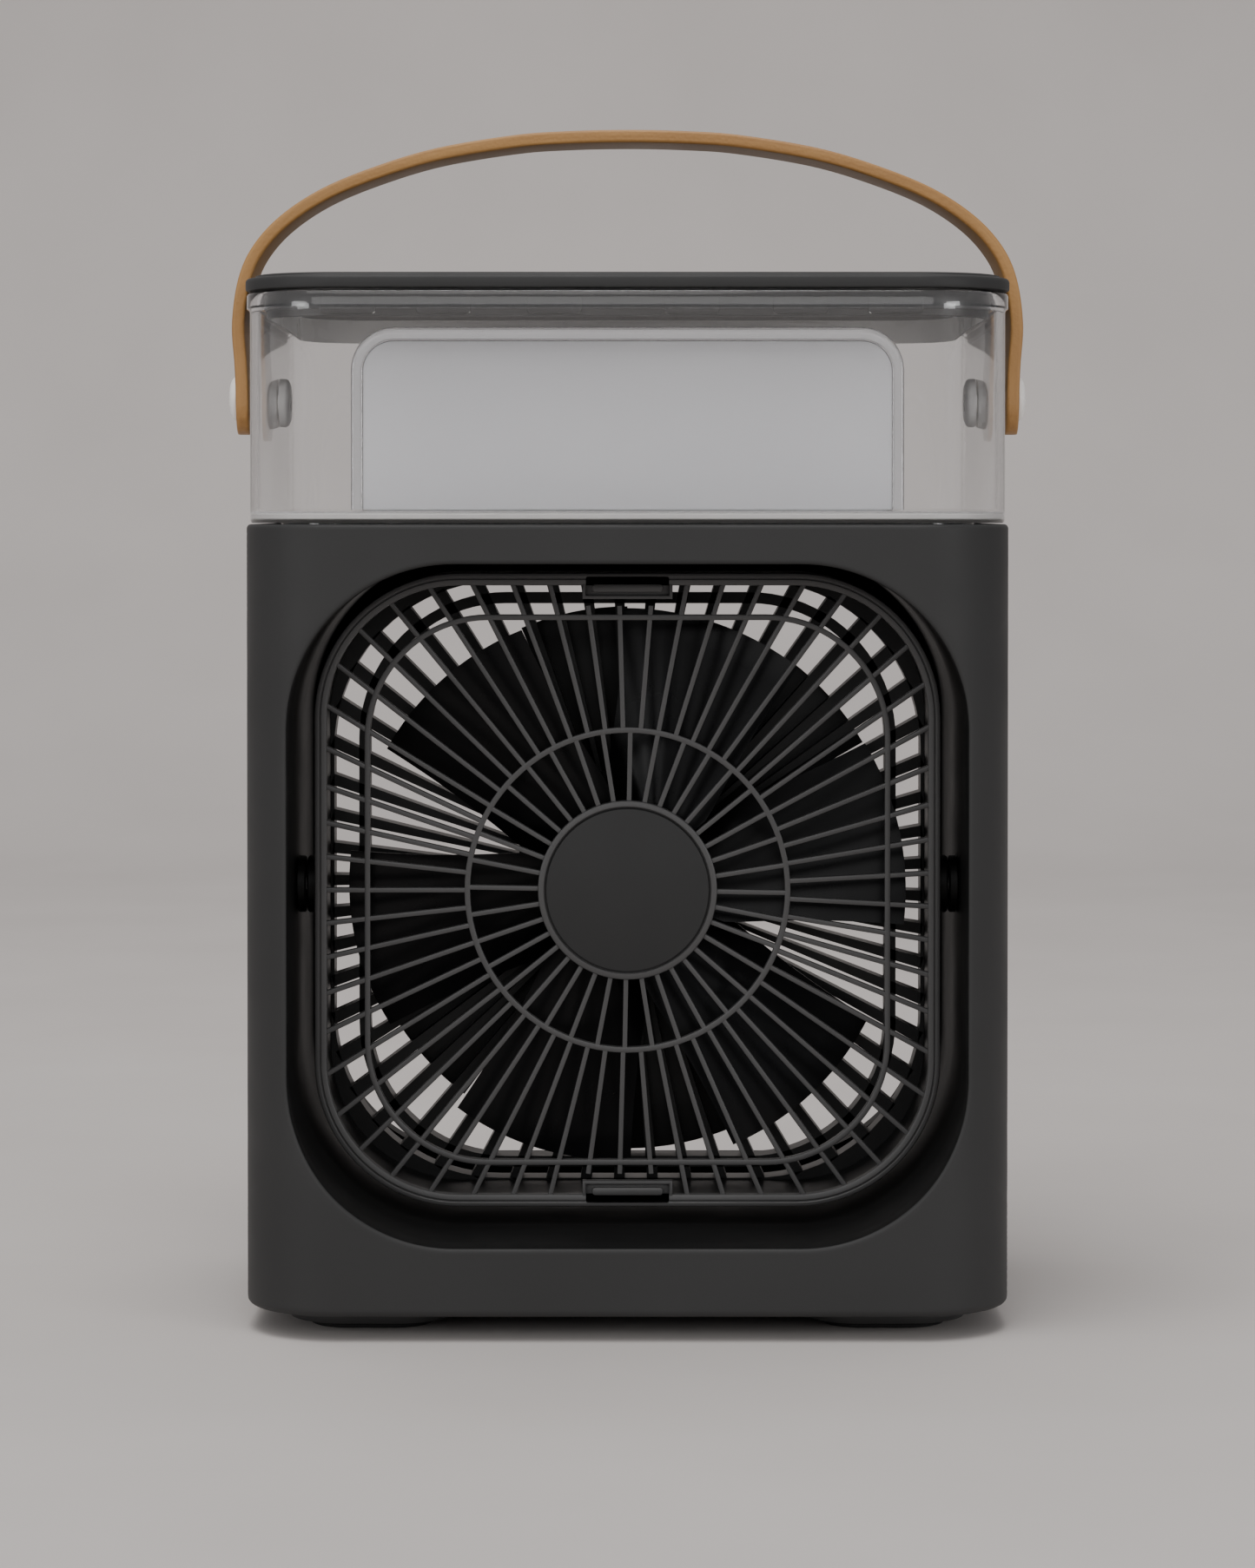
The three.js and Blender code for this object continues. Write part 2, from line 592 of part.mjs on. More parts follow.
const SKIRT_Y = 55.6;
let skirt = upright(roundRect(83.5, SKIRT_Y, 18, 5), RIM_Z, LID_Z - GAP)
  .add(upright(roundRect(82.9, SKIRT_Y - 0.6, 17.4, 5), 231.9, RIM_Z + 0.2));
skirt = skirt.subtract(upright(roundRect(82, SKIRT_Y - 1.5, 16.5, 5), 230, LID_Z + 1));
for (const x of [-63, -41.5, -16.5, 14.5, 39, 60.5]) {
  for (const side of [-1, 1]) {
    const [y0, y1] = side > 0 ? [SKIRT_Y - 1, SKIRT_Y + 0.8] : [-SKIRT_Y - 0.8, -SKIRT_Y + 1];
    skirt = skirt.add(block(x - 6.2, x + 6.2, y0, y1, 232.4, 235.8));
  }
}
add('lid_skirt', skirt, 'charcoal');
const seal = upright(roundRect(84.4, 56.9, 18.9, 5), 236.2, LID_Z - GAP)
  .subtract(upright(roundRect(83.8, 56.3, 18.3, 5), 230, 240));
add('lid_seal', seal, 'rubber');

// ---- strap handle -------------------------------------------------------
const HALF_STRAP = [
  [0, 277.8], [14, 277.5], [26.5, 276.6], [36, 275.3], [44.7, 273.6], [52.5, 271.6],
  [59, 269.4], [66, 266.8], [72, 264.1], [77.4, 261], [82, 257.6], [85.8, 254], [88.6, 250.4],
  [90.6, 246.8], [92.1, 242.6], [93.1, 237.4], [93.6, 232], [93.5, 227], [93.0, 222],
  [92.7, 217], [92.7, 205.9],
];

function makeStrap() {
  const outer = HALF_STRAP.map(([x, z]) => new THREE.Vector2(x, z));
  const inner = outer.map((p, i) => {
    const before = outer[i - 1] ?? new THREE.Vector2(-outer[1].x, outer[1].y);
    const after = outer[i + 1] ?? p;
    const t = after.clone().sub(before).normalize();
    return new THREE.Vector2(p.x + t.y * STRAP_T, p.y - t.x * STRAP_T);
  });
  const mirror = (list) => list.slice(1).map((p) => new THREE.Vector2(-p.x, p.y)).reverse();
  const outline = [
    ...mirror(outer), ...outer,
    ...inner.slice().reverse(), ...mirror(inner).reverse(),
  ];
  let strap = along(outline, -STRAP_W / 2, STRAP_W / 2, [], 0, 0);
  // Rounded ends, seen from the side.
  const side = roundRect(STRAP_W / 2, 50, 7, 5);
  const cutter = toSolid(prism(side, 220).rotateX(Math.PI / 2).rotateZ(Math.PI / 2)
    .translate(-110, 0, 205.9 + 50));
  strap = strap.intersect(cutter);
  for (const s of [-1, 1]) {
    const [a, b] = s > 0 ? [80, 100] : [-100, -80];
    strap = strap.subtract(washer(2.3, 0, a, b, 'x', [0, 0, RIVET_Z], 16));
  }
  return strap;
}
add('handle_strap', makeStrap(), 'tan');

for (const [name, side] of [['left', -1], ['right', 1]]) {
  const disc = (outer, inner, x0, x1, seg) => {
    const [a, b] = side > 0 ? [x0, x1] : [-x1, -x0];
    return washer(outer, inner, a, b, 'x', [0, 0, RIVET_Z], seg);
  };
  const dome = [[0, 92.9], [5.25, 92.9], [5.1, 93.7], [4.2, 94.5], [2.4, 94.9], [0, 95]];
  const profile = dome.map(([r, h]) => [r, side * h]);
  const rivet = turned(profile, 'x', [0, 0, RIVET_Z], 20).add(disc(2.05, 0, 82, 93, 14));
  add(`handle_rivet_${name}`, rivet, 'white');
  add(`handle_spacer_${name}`, disc(4.5, 2.3, 87.0, 89.4, 20), 'white');
  add(`rivet_cap_${name}`, disc(5.8, 2.3, 81.4, 84.4, 20), 'frost');
}

export default fan;
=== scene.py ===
# %% [markdown]
# A table-top air cooler: a dark moulded body with a square fan that tilts in
# its opening, a clear water tank on top, a lid, and a tan strap handle.
# The imported CAD model is the frame: it fixes every place and size. Here most
# of its parts are made again as finished meshes, in the same place, and ride
# on the same moving body. All lengths below are in millimetres; one helper
# turns them into Blender's metres when a mesh is made.

# %% Load the frame
import json
import math

import bmesh
import bpy
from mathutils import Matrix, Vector


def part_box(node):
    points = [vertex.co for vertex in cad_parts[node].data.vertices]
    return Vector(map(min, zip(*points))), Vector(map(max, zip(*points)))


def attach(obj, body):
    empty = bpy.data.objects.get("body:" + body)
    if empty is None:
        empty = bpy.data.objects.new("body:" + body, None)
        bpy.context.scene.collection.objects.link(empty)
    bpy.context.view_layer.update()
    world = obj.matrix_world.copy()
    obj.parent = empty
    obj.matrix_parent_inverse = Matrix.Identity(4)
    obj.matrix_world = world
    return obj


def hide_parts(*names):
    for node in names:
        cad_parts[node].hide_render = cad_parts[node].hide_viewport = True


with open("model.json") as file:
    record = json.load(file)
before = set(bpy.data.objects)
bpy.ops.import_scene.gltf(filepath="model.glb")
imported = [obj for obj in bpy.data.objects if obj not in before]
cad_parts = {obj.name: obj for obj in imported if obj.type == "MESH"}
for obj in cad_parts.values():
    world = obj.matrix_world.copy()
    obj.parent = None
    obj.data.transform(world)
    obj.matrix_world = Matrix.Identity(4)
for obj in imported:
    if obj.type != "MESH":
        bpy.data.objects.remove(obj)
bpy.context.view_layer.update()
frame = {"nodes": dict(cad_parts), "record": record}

MM = 0.001

# %% [markdown]
# Places come from the frame. A node's box gives its two far corners, so the
# fan's tilt axis, the width of the fan unit and the top of the body are all
# measured here once, and every later step is built from these few numbers.

# %% Measure the frame
def box_mm(node):
    """Lowest and highest corner of a CAD node, in millimetres."""
    low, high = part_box(node)
    return low / MM, high / MM


def middle_of(low, high, axes="xy"):
    """Middle of a box on two of its axes."""
    return tuple((getattr(low, k) + getattr(high, k)) / 2 for k in axes)


def half_of(low, high, axes="xy"):
    """Half the size of a box on two of its axes."""
    return tuple((getattr(high, k) - getattr(low, k)) / 2 for k in axes)


body_lo, body_hi = box_mm("housing")
pod_lo, pod_hi = box_mm("rear_guard")
tank_lo, tank_hi = box_mm("water_tank")
lid_lo, lid_hi = box_mm("lid")
strap_lo, strap_hi = box_mm("handle_strap")
rivet_lo, rivet_hi = box_mm("handle_rivet_right")

HALF_W, HALF_D = body_hi.x, body_hi.y
BODY_Z0, BODY_Z1 = body_lo.z, body_hi.z
POD_X = pod_hi.x
POD_Z = (pod_hi.z - pod_lo.z) / 2
AXIS_Z = (pod_hi.z + pod_lo.z) / 2
POD_R = 34.0
print("body", HALF_W, HALF_D, BODY_Z0, BODY_Z1, "fan unit", POD_X, POD_Z, AXIS_Z)

# %% [markdown]
# Most of a moulded product is one idea repeated: a row of matching loops of
# points, with quads laid between each loop and the next. A tray, a lid, a
# ring and a bar are all stacks of loops. Writing that as one helper gives
# clean quads and rounded edges where a boolean or a bevel would guess.

# %% Loops into meshes
def skin(loops, closed=False):
    """Quads between neighbouring loops. Capped at both ends, or closed round."""
    count = len(loops[0])
    points = [p for loop in loops for p in loop]
    faces = []
    pairs = list(zip(range(len(loops)), range(1, len(loops))))
    if closed:
        pairs.append((len(loops) - 1, 0))
    for a, b in pairs:
        for i in range(count):
            j = (i + 1) % count
            faces.append((a * count + i, a * count + j, b * count + j, b * count + i))
    if not closed:
        last = (len(loops) - 1) * count
        faces.append(tuple(range(count)))
        faces.append(tuple(last + i for i in range(count)))
    return points, faces


SHARP = 35.0                    # edges that turn more than this many degrees stay sharp


def shapes_mesh(name, shapes, sharp=SHARP):
    """A welded, smoothly shaded mesh from a list of (points, faces) shapes."""
    points, faces = [], []
    for shape_points, shape_faces in shapes:
        base = len(points)
        points += [Vector(p) * MM for p in shape_points]
        faces += [tuple(base + i for i in face) for face in shape_faces]
    mesh = bpy.data.meshes.new(name)
    mesh.from_pydata(points, [], faces)
    tidy_mesh(mesh, sharp)
    return mesh


def put_in_scene(name, data):
    """A new object that holds this mesh, light or camera."""
    obj = bpy.data.objects.new(name, data)
    bpy.context.scene.collection.objects.link(obj)
    return obj


def piece(name, body, slot, material, shapes, stands_for=(), sharp=SHARP):
    """One finished mesh that rides on a body and may stand for CAD nodes."""
    mesh = shapes_mesh(name, shapes, sharp)
    mesh.materials.append(material)
    obj = put_in_scene(name, mesh)
    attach(obj, body)
    if stands_for:
        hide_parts(*stands_for)
    return obj


def tidy_mesh(mesh, sharp):
    """Welds touching points, turns every face outward and shades smoothly."""
    bm = bmesh.new()
    bm.from_mesh(mesh)
    bmesh.ops.remove_doubles(bm, verts=bm.verts, dist=1e-6)
    bmesh.ops.dissolve_degenerate(bm, dist=1e-7, edges=bm.edges)
    bmesh.ops.recalc_face_normals(bm, faces=bm.faces)
    bm.to_mesh(mesh)
    bm.free()
    for face in mesh.polygons:
        face.use_smooth = True
    mesh.set_sharp_from_angle(angle=math.radians(sharp))


# %% [markdown]
# Outlines are drawn flat and then placed. The three placing functions say
# which way the flat drawing faces: toward the front, upward, or to the side.
# A sweep draws the same rounded rectangle again and again, pulled in by a
# different amount at each depth, so a list of (inset, depth) pairs is simply
# the part's cross-section.

# %% Outlines, sweeps and turned parts
def outline(half_x, half_y, radius, steps=12):
    """A rounded rectangle, anticlockwise, with its corners drawn as arcs."""
    points = []
    radius = max(radius, 0.05)
    for quarter, (sx, sy) in enumerate([(1, -1), (1, 1), (-1, 1), (-1, -1)]):
        for i in range(steps + 1):
            a = math.radians(-90 + 90 * quarter + 90 * i / steps)
            points.append((sx * (half_x - radius) + radius * math.cos(a),
                           sy * (half_y - radius) + radius * math.sin(a)))
    return points


def facing_front(u, v, depth):
    return (u, depth, AXIS_Z + v)


def facing_up(u, v, depth):
    return (u, v, depth)


def sweep(section, half_x, half_y, radius, place, closed=False, steps=12, at=(0, 0)):
    """Rounded rectangles pulled in by each inset of the (inset, depth) section."""
    loops = []
    for inset, depth in section:
        flat = outline(half_x - inset, half_y - inset, radius - inset, steps)
        loops.append([place(u + at[0], v + at[1], depth) for u, v in flat])
    return skin(loops, closed)


def turned(section, place, closed=False, segments=48, at=(0, 0)):
    """A lathe part: circles of each radius of the (radius, depth) section."""
    loops = []
    for radius, depth in section:
        loop = []
        for i in range(segments):
            a = 2 * math.pi * i / segments
            loop.append(place(at[0] + radius * math.cos(a),
                              at[1] + radius * math.sin(a), depth))
        loops.append(loop)
    return skin(loops, closed)


def ring_section(width, front, back, edge=0.25):
    """Cross-section of a flat ring or bar with rounded front edges, as (inset, depth)."""
    return [(0, back), (0, front + edge), (0.3 * edge, front + 0.3 * edge), (edge, front),
            (width - edge, front), (width - 0.3 * edge, front + 0.3 * edge),
            (width, front + edge), (width, back)]


def bar_between(start, end, width, front, back, edge, place, end_width=None):
    """A straight bar from start to end, with its front corners rounded off."""
    along = Vector((end[0] - start[0], end[1] - start[1]))
    across = Vector((-along.y, along.x)).normalized()
    loops = []
    for point, full in ((start, width), (end, end_width or width)):
        section = [(d - full / 2, depth) for d, depth in ring_section(full, front, back, edge)]
        loops.append([place(point[0] + across.x * o, point[1] + across.y * o, depth)
                      for o, depth in section])
    return skin(loops)


def slab(flat, depth0, depth1, edge, place):
    """A plate of any flat outline, with a small rounded edge on both faces."""
    inner = pulled_in(flat, edge)
    middle = pulled_in(flat, 0.3 * edge)
    way = 1 if depth1 > depth0 else -1
    rows = [(inner, depth0), (middle, depth0 + way * 0.3 * edge), (flat, depth0 + way * edge),
            (flat, depth1 - way * edge), (middle, depth1 - way * 0.3 * edge), (inner, depth1)]
    return skin([[place(u, v, depth) for u, v in loop] for loop, depth in rows])


def pulled_in(flat, amount):
    """The same anticlockwise outline, every side moved inward by amount."""
    result = []
    count = len(flat)
    for i in range(count):
        here = Vector(flat[i])
        before = (here - Vector(flat[i - 1])).normalized()
        after = (Vector(flat[(i + 1) % count]) - here).normalized()
        n0, n1 = Vector((-before.y, before.x)), Vector((-after.y, after.x))
        shift = (n0 + n1) / max(1 + n0.dot(n1), 0.2)
        result.append(tuple(here + shift * amount))
    return result


# %% [markdown]
# The body, lid and grille are all the same charcoal ABS with a fine eroded
# texture. On the real thing three scales show: slow cloudiness in the
# colour, patches that are a little shinier, and a fine grain that breaks up
# every highlight. Each is a noise texture at its own scale, fed to colour,
# roughness and bump. Object coordinates keep the grain fixed to the part.

# %% Moulded plastics
def start_material(name):
    """A new node material and the nodes that every finish here begins with."""
    material = bpy.data.materials.new(name)
    material.use_nodes = True
    nodes = material.node_tree.nodes
    return material, nodes, material.node_tree.links, nodes["Principled BSDF"]


def set_inputs(node, **values):
    """Sets a node's plain inputs by name; an underscore stands for a space."""
    for key, value in values.items():
        node.inputs[key.replace("_", " ")].default_value = value
    return node


def add_node(nodes, kind, **values):
    """A new shader node of this kind, with its plain inputs set."""
    return set_inputs(nodes.new("ShaderNode" + kind), **values)


def noise_field(nodes, links, scale, detail=3.0):
    """Noise in the part's own space; scale is in features per metre."""
    noise = add_node(nodes, "TexNoise", Scale=scale, Detail=detail)
    links.new(add_node(nodes, "TexCoord").outputs["Object"], noise.inputs["Vector"])
    return noise.outputs["Fac"]


FIELD_LOW, FIELD_HIGH = 0.3, 0.7


def spread_over(nodes, links, field, low, high):
    """Stretches a noise field, which sits around one half, over low to high."""
    spread = add_node(nodes, "MapRange", From_Min=FIELD_LOW, From_Max=FIELD_HIGH,
                      To_Min=low, To_Max=high)
    links.new(field, spread.inputs["Value"])
    return spread.outputs["Result"]


def blend_colours(nodes, links, field, first, second):
    """A colour that drifts between two tones along a field."""
    ramp = add_node(nodes, "ValToRGB")
    stops = zip(ramp.color_ramp.elements, (FIELD_LOW, FIELD_HIGH), (first, second))
    for stop, position, colour in stops:
        stop.position, stop.color = position, (*colour, 1)
    links.new(field, ramp.inputs["Fac"])
    return ramp.outputs["Color"]


def add_grain(nodes, links, shader, field, strength, height):
    """Fine relief from a field; height is in metres."""
    bump = add_node(nodes, "Bump", Strength=strength, Distance=height)
    links.new(field, bump.inputs["Height"])
    links.new(bump.outputs["Normal"], shader.inputs["Normal"])


def moulded_plastic(name, colour, roughness, grain=0.25, drift=0.07, grain_scale=2400,
                    gloss=0.5):
    """Eroded or polished moulded plastic, from its colour and roughness."""
    material, nodes, links, shader = start_material(name)
    clouds = noise_field(nodes, links, 16)
    patches = noise_field(nodes, links, 55)
    fine = noise_field(nodes, links, grain_scale, 2.0)
    darker = tuple(c * (1 - drift) for c in colour)
    lighter = tuple(c * (1 + drift) for c in colour)
    links.new(blend_colours(nodes, links, clouds, darker, lighter), shader.inputs["Base Color"])
    links.new(spread_over(nodes, links, patches, roughness - 0.04, roughness + 0.05),
              shader.inputs["Roughness"])
    set_inputs(shader, Specular_IOR_Level=gloss)
    add_grain(nodes, links, shader, fine, grain, 0.00006)
    return material


charcoal = moulded_plastic("charcoal_plastic", (0.031, 0.031, 0.031), 0.54, gloss=0.25)
grille_grey = moulded_plastic("grille_plastic", (0.062, 0.061, 0.061), 0.42)
foot_grey = moulded_plastic("foot_plastic", (0.050, 0.050, 0.050), 0.46)
# Painted shade: a darker copy of the charcoal for the lid's skirt, which sits in shade under the
# lid.
collar_painted_shade = moulded_plastic("collar_shade_plastic", (0.014, 0.014, 0.014), 0.46, gloss=0.3)
cap_grey = moulded_plastic("cap_plastic", (0.46, 0.45, 0.44), 0.40, grain=0.1)
# Painted shade: a near-black copy of the charcoal for the tunnel, where little light reaches.
tunnel_painted_shade = moulded_plastic("tunnel_shade_plastic", (0.006, 0.006, 0.006), 0.6, gloss=0.2)
dark = moulded_plastic("dark_plastic", (0.010, 0.010, 0.010), 0.42, gloss=0.3)
fan_black = moulded_plastic("fan_black_plastic", (0.004, 0.004, 0.0045), 0.28, grain=0.08,
                            gloss=0.16)
white = moulded_plastic("white_plastic", (0.90, 0.88, 0.85), 0.28, grain=0.06)
rubber = moulded_plastic("foot_rubber", (0.012, 0.012, 0.012), 0.75, grain=0.5, grain_scale=1500)
print("plastics:", charcoal.name, grille_grey.name, dark.name, fan_black.name, white.name)

# %% [markdown]
# The tank and the arch inside it are clear polystyrene. Walls of real
# thickness bend the light at rims and corners, and a slightly rough coat
# adds a soft shine. Clear plastic would cast a black shadow in a path
# tracer, so shadow rays are let straight through. The chamber's two panels
# are frosted: light comes through them but no image does.

# %% Clear and frosted plastic
def clear_plastic(name, tint, index, roughness):
    """See-through plastic whose shadow stays light."""
    material, nodes, links, shader = start_material(name)
    haze = noise_field(nodes, links, 30)
    links.new(blend_colours(nodes, links, haze, tint, tuple(min(c * 1.02, 1) for c in tint)),
              shader.inputs["Base Color"])
    links.new(spread_over(nodes, links, haze, roughness, roughness + 0.02),
              shader.inputs["Roughness"])
    set_inputs(shader, Transmission_Weight=1.0, IOR=index, Coat_Weight=0.7, Coat_Roughness=0.14)
    passing = add_node(nodes, "BsdfTransparent", Color=(0.9, 0.9, 0.91, 1))
    choose = add_node(nodes, "MixShader")
    links.new(add_node(nodes, "LightPath").outputs["Is Shadow Ray"], choose.inputs["Fac"])
    links.new(shader.outputs["BSDF"], choose.inputs[1])
    links.new(passing.outputs["BSDF"], choose.inputs[2])
    links.new(choose.outputs["Shader"], nodes["Material Output"].inputs["Surface"])
    return material


def frosted_plastic(name, colour):
    """Milky sheet: half of the light scatters back, half comes through."""
    material, nodes, links, shader = start_material(name)
    clouds = noise_field(nodes, links, 22)
    fine = noise_field(nodes, links, 1800, 2.0)
    tint = blend_colours(nodes, links, clouds, tuple(c * 0.97 for c in colour), colour)
    links.new(tint, shader.inputs["Base Color"])
    set_inputs(shader, Roughness=0.55, Transmission_Weight=0.25, IOR=1.2)
    add_grain(nodes, links, shader, fine, 0.15, 0.00005)
    return material


clear = clear_plastic("clear_plastic", (0.985, 0.985, 0.99), 1.35, 0.0)
arch_clear = clear_plastic("arch_plastic", (0.90, 0.93, 0.97), 1.45, 0.02)
frosted = frosted_plastic("frosted_plastic", (0.76, 0.76, 0.78))
print("see-through:", clear.name, arch_clear.name, frosted.name)

# %% [markdown]
# The strap is tan vegetable-tanned leather, sealed on its faces and bare on
# its cut edges. Leather shows fibres that run along the strap, so one noise
# is stretched along strap_run, a place measured along the strap's own curve
# that is stored on its mesh. Pores are small cells from a Voronoi texture,
# and they only lower the surface, which is why they go to bump.

# %% Leather and metals
def leather(name, pale, deep, roughness):
    """Sealed leather with fibres along the strap and fine pores."""
    material, nodes, links, shader = start_material(name)
    run = add_node(nodes, "Attribute")
    run.attribute_name = "strap_run"
    stretched = add_node(nodes, "Mapping", Scale=(0.12, 3.0, 3.0))
    links.new(run.outputs["Vector"], stretched.inputs["Vector"])
    streaks = add_node(nodes, "TexNoise", Scale=330, Detail=6.0)
    links.new(stretched.outputs["Vector"], streaks.inputs["Vector"])
    fibres = streaks.outputs["Fac"]
    blotches = noise_field(nodes, links, 28, 4.0)
    mix = add_node(nodes, "Mix", Factor=0.45)
    links.new(fibres, mix.inputs["A"])
    links.new(blotches, mix.inputs["B"])
    links.new(blend_colours(nodes, links, mix.outputs["Result"], deep, pale),
              shader.inputs["Base Color"])
    links.new(spread_over(nodes, links, blotches, roughness - 0.06, roughness + 0.08),
              shader.inputs["Roughness"])
    pores = add_node(nodes, "TexVoronoi", Scale=1100)
    links.new(add_node(nodes, "TexCoord").outputs["Object"], pores.inputs["Vector"])
    relief = add_node(nodes, "Math")
    relief.operation = "ADD"
    links.new(pores.outputs["Distance"], relief.inputs[0])
    links.new(fibres, relief.inputs[1])
    add_grain(nodes, links, shader, relief.outputs["Value"], 0.35, 0.00018)
    return material


def metal(name, colour, roughness):
    """Plated or machined metal with faint drifting shine."""
    material, nodes, links, shader = start_material(name)
    marks = noise_field(nodes, links, 300, 4.0)
    links.new(blend_colours(nodes, links, marks, tuple(c * 0.9 for c in colour), colour),
              shader.inputs["Base Color"])
    links.new(spread_over(nodes, links, marks, roughness - 0.05, roughness + 0.08),
              shader.inputs["Roughness"])
    set_inputs(shader, Metallic=1.0)
    add_grain(nodes, links, shader, marks, 0.1, 0.00003)
    return material


tan = leather("tan_leather", (0.42, 0.222, 0.070), (0.31, 0.150, 0.042), 0.5)
steel = metal("steel", (0.56, 0.56, 0.57), 0.32)
brass = metal("brass", (0.70, 0.52, 0.26), 0.35)
board_green = moulded_plastic("circuit_board", (0.03, 0.11, 0.06), 0.35, grain=0.1)
print("other finishes:", tan.name, steel.name, brass.name, board_green.name)

# %% [markdown]
# Every CAD node first gets the finish of its material slot. Most are then
# replaced by detailed pieces, and the few that stay, such as the seal and
# the parts inside the motor, already look right with a real material.

# %% Finish the CAD nodes
FINISHES = {
    "charcoal_plastic": charcoal, "dark_plastic": dark, "rubber": rubber,
    "steel": steel, "brass": brass, "fan_black": fan_black,
    "clear_plastic": clear, "frosted_plastic": frosted, "tan_leather": tan,
    "white_plastic": white, "circuit_board": board_green,
}
slot_of = {}
for entry in frame["record"]["subparts"]:
    slot_of[entry["node"]] = entry["material_slot"]
for name, node in frame["nodes"].items():
    node.data.materials.clear()
    node.data.materials.append(FINISHES[slot_of[name]])
print("finished", len(frame["nodes"]), "CAD nodes")

# %% [markdown]
# The body is one moulding: a wrapper with rounded upright corners, and a
# rounded-square tunnel right through it. The opening is so wide that its
# sides run onto the rounded corners. So the face is drawn unrolled, as a
# flat sheet in which the corner is straightened out, and each point is then
# wrapped back. The loops run from the opening's lip to the sheet's edge.

# %% Body: wrap a flat sheet round the corners
CORNER = 22.0
OPEN_X, OPEN_Z, OPEN_R = 77.1, 77.2, 38.0
REAR_X, REAR_Z, REAR_R = 73.5, 73.0, 34.0
LIP_ROUND = 0.9
TOP_ROUND, FOOT_ROUND = 1.0, 1.5
flat_half = HALF_W - CORNER
arc_end = flat_half + CORNER * math.pi / 2
sheet_half = arc_end + HALF_D - CORNER


def wrapped(s):
    """Plan point and outward normal at distance s round the body's front half."""
    side, run = (1 if s >= 0 else -1), abs(s)
    if run <= flat_half:
        return Vector((s, -HALF_D)), Vector((0, -1))
    if run <= arc_end:
        a = (run - flat_half) / CORNER
        normal = Vector((side * math.sin(a), -math.cos(a)))
        return Vector((side * flat_half, CORNER - HALF_D)) + normal * CORNER, normal
    return Vector((side * HALF_W, CORNER - HALF_D + run - arc_end)), Vector((side, 0))


def unrolled(x):
    """Distance round the body of the surface point that is x from the middle."""
    if abs(x) <= flat_half:
        return x
    a = math.asin(min((abs(x) - flat_half) / CORNER, 1))
    return math.copysign(flat_half + CORNER * a, x)


def opening_points(grow, rear=False):
    """The opening's outline with a step exactly toward each sheet corner."""
    points = []
    half_x, half_z, radius = [v + grow for v in
                              ((REAR_X, REAR_Z, REAR_R) if rear else (OPEN_X, OPEN_Z, OPEN_R))]
    for sx, sz, turn in [(1, -1, -1), (1, 1, 1), (-1, 1, -1), (-1, -1, 1)]:
        angles = corner_angles(sz)
        if turn < 0:
            angles = angles[::-1]
        for a in angles:
            points.append((sx * (half_x - radius + radius * math.cos(a)),
                           sz * (half_z - radius + radius * math.sin(a)), sx, sz, a))
    return points


def corner_angles(sz):
    """Angles round one corner, so that one of them meets the sheet's corner."""
    across = sheet_half - unrolled(OPEN_X) + OPEN_R
    z_end = BODY_Z1 - TOP_ROUND if sz > 0 else BODY_Z0 + FOOT_ROUND
    rise = abs(z_end - AXIS_Z) - (OPEN_Z - OPEN_R)
    low = [math.atan2(rise * i / 8, across) for i in range(8)]
    high = [math.atan2(rise, across * (1 - i / 40)) for i in range(41)]
    return low + high


print("sheet runs", round(sheet_half, 1), "mm either way from the middle")

# %% [markdown]
# One row of points per loop: first the step-in of the tunnel, then the
# rounded lip that catches the thin line of light, then the face itself.
# The back is built the same way with Y flipped, and its opening is a little
# smaller than the front one.

# %% Body: front and back faces with the tunnel
FACE_LOOPS = 28
LIP_DEPTH = 8.0
DUCT_GROW = 1.6


def face_loops(flip):
    """Loops of one face, from the middle of the tunnel out to the sheet's edge."""
    duct = duct_points(opening_points(0))
    rear = flip < 0
    loops = [[(u, 0.0, AXIS_Z + v) for u, v in duct],
             [(u, flip * (LIP_DEPTH - HALF_D), AXIS_Z + v) for u, v in duct],
             [(p[0], flip * (LIP_DEPTH - HALF_D), AXIS_Z + p[1])
              for p in opening_points(0, rear)]]
    for i in range(5):
        a = math.pi / 2 * i / 4
        grown = opening_points(LIP_ROUND * (1 - math.cos(a)), rear)
        row = []
        for x, z, *_ in grown:
            plan, _ = wrapped(unrolled(x))
            row.append((x, flip * (plan.y + LIP_ROUND * (1 - math.sin(a))), AXIS_Z + z))
        loops.append(row)
    edge = opening_points(LIP_ROUND, rear)
    for i in range(1, FACE_LOOPS + 1):
        t = i / FACE_LOOPS
        row = []
        for (x, z, sx, sz, a), (s_far, z_far) in zip(edge, sheet_edge()):
            s = unrolled(x) * (1 - t) + s_far * t
            plan, _ = wrapped(s)
            row.append((plan.x, flip * plan.y, (AXIS_Z + z) * (1 - t) + z_far * t))
        loops.append(row)
    return loops


def duct_points(lip):
    """The tunnel behind the lip is a little wider than the opening."""
    points = []
    for x, z, sx, sz, a in lip:
        points.append((x + sx * DUCT_GROW * math.cos(a), z + sz * DUCT_GROW * math.sin(a)))
    return points


def sheet_edge():
    """Where a ray from each point of the opening's corner leaves the sheet."""
    ends = []
    cx, cz = unrolled(OPEN_X) - OPEN_R, OPEN_Z - OPEN_R
    for x, z, sx, sz, a in opening_points(0):
        z_end = BODY_Z1 - TOP_ROUND if sz > 0 else BODY_Z0 + FOOT_ROUND
        rise = abs(z_end - AXIS_Z) - cz
        along, up = math.cos(a), math.sin(a)
        reach = min((sheet_half - cx) / max(along, 1e-9), rise / max(up, 1e-9))
        ends.append((sx * (cx + reach * along), AXIS_Z + sz * (cz + reach * up)))
    return ends


def open_skin(loops):
    """Like skin, without the two end caps."""
    points, faces = skin(loops)
    return points, faces[:-2]


faces_front = open_skin(face_loops(1))
faces_back = open_skin(face_loops(-1))
print("face quads:", len(faces_front[1]) + len(faces_back[1]))

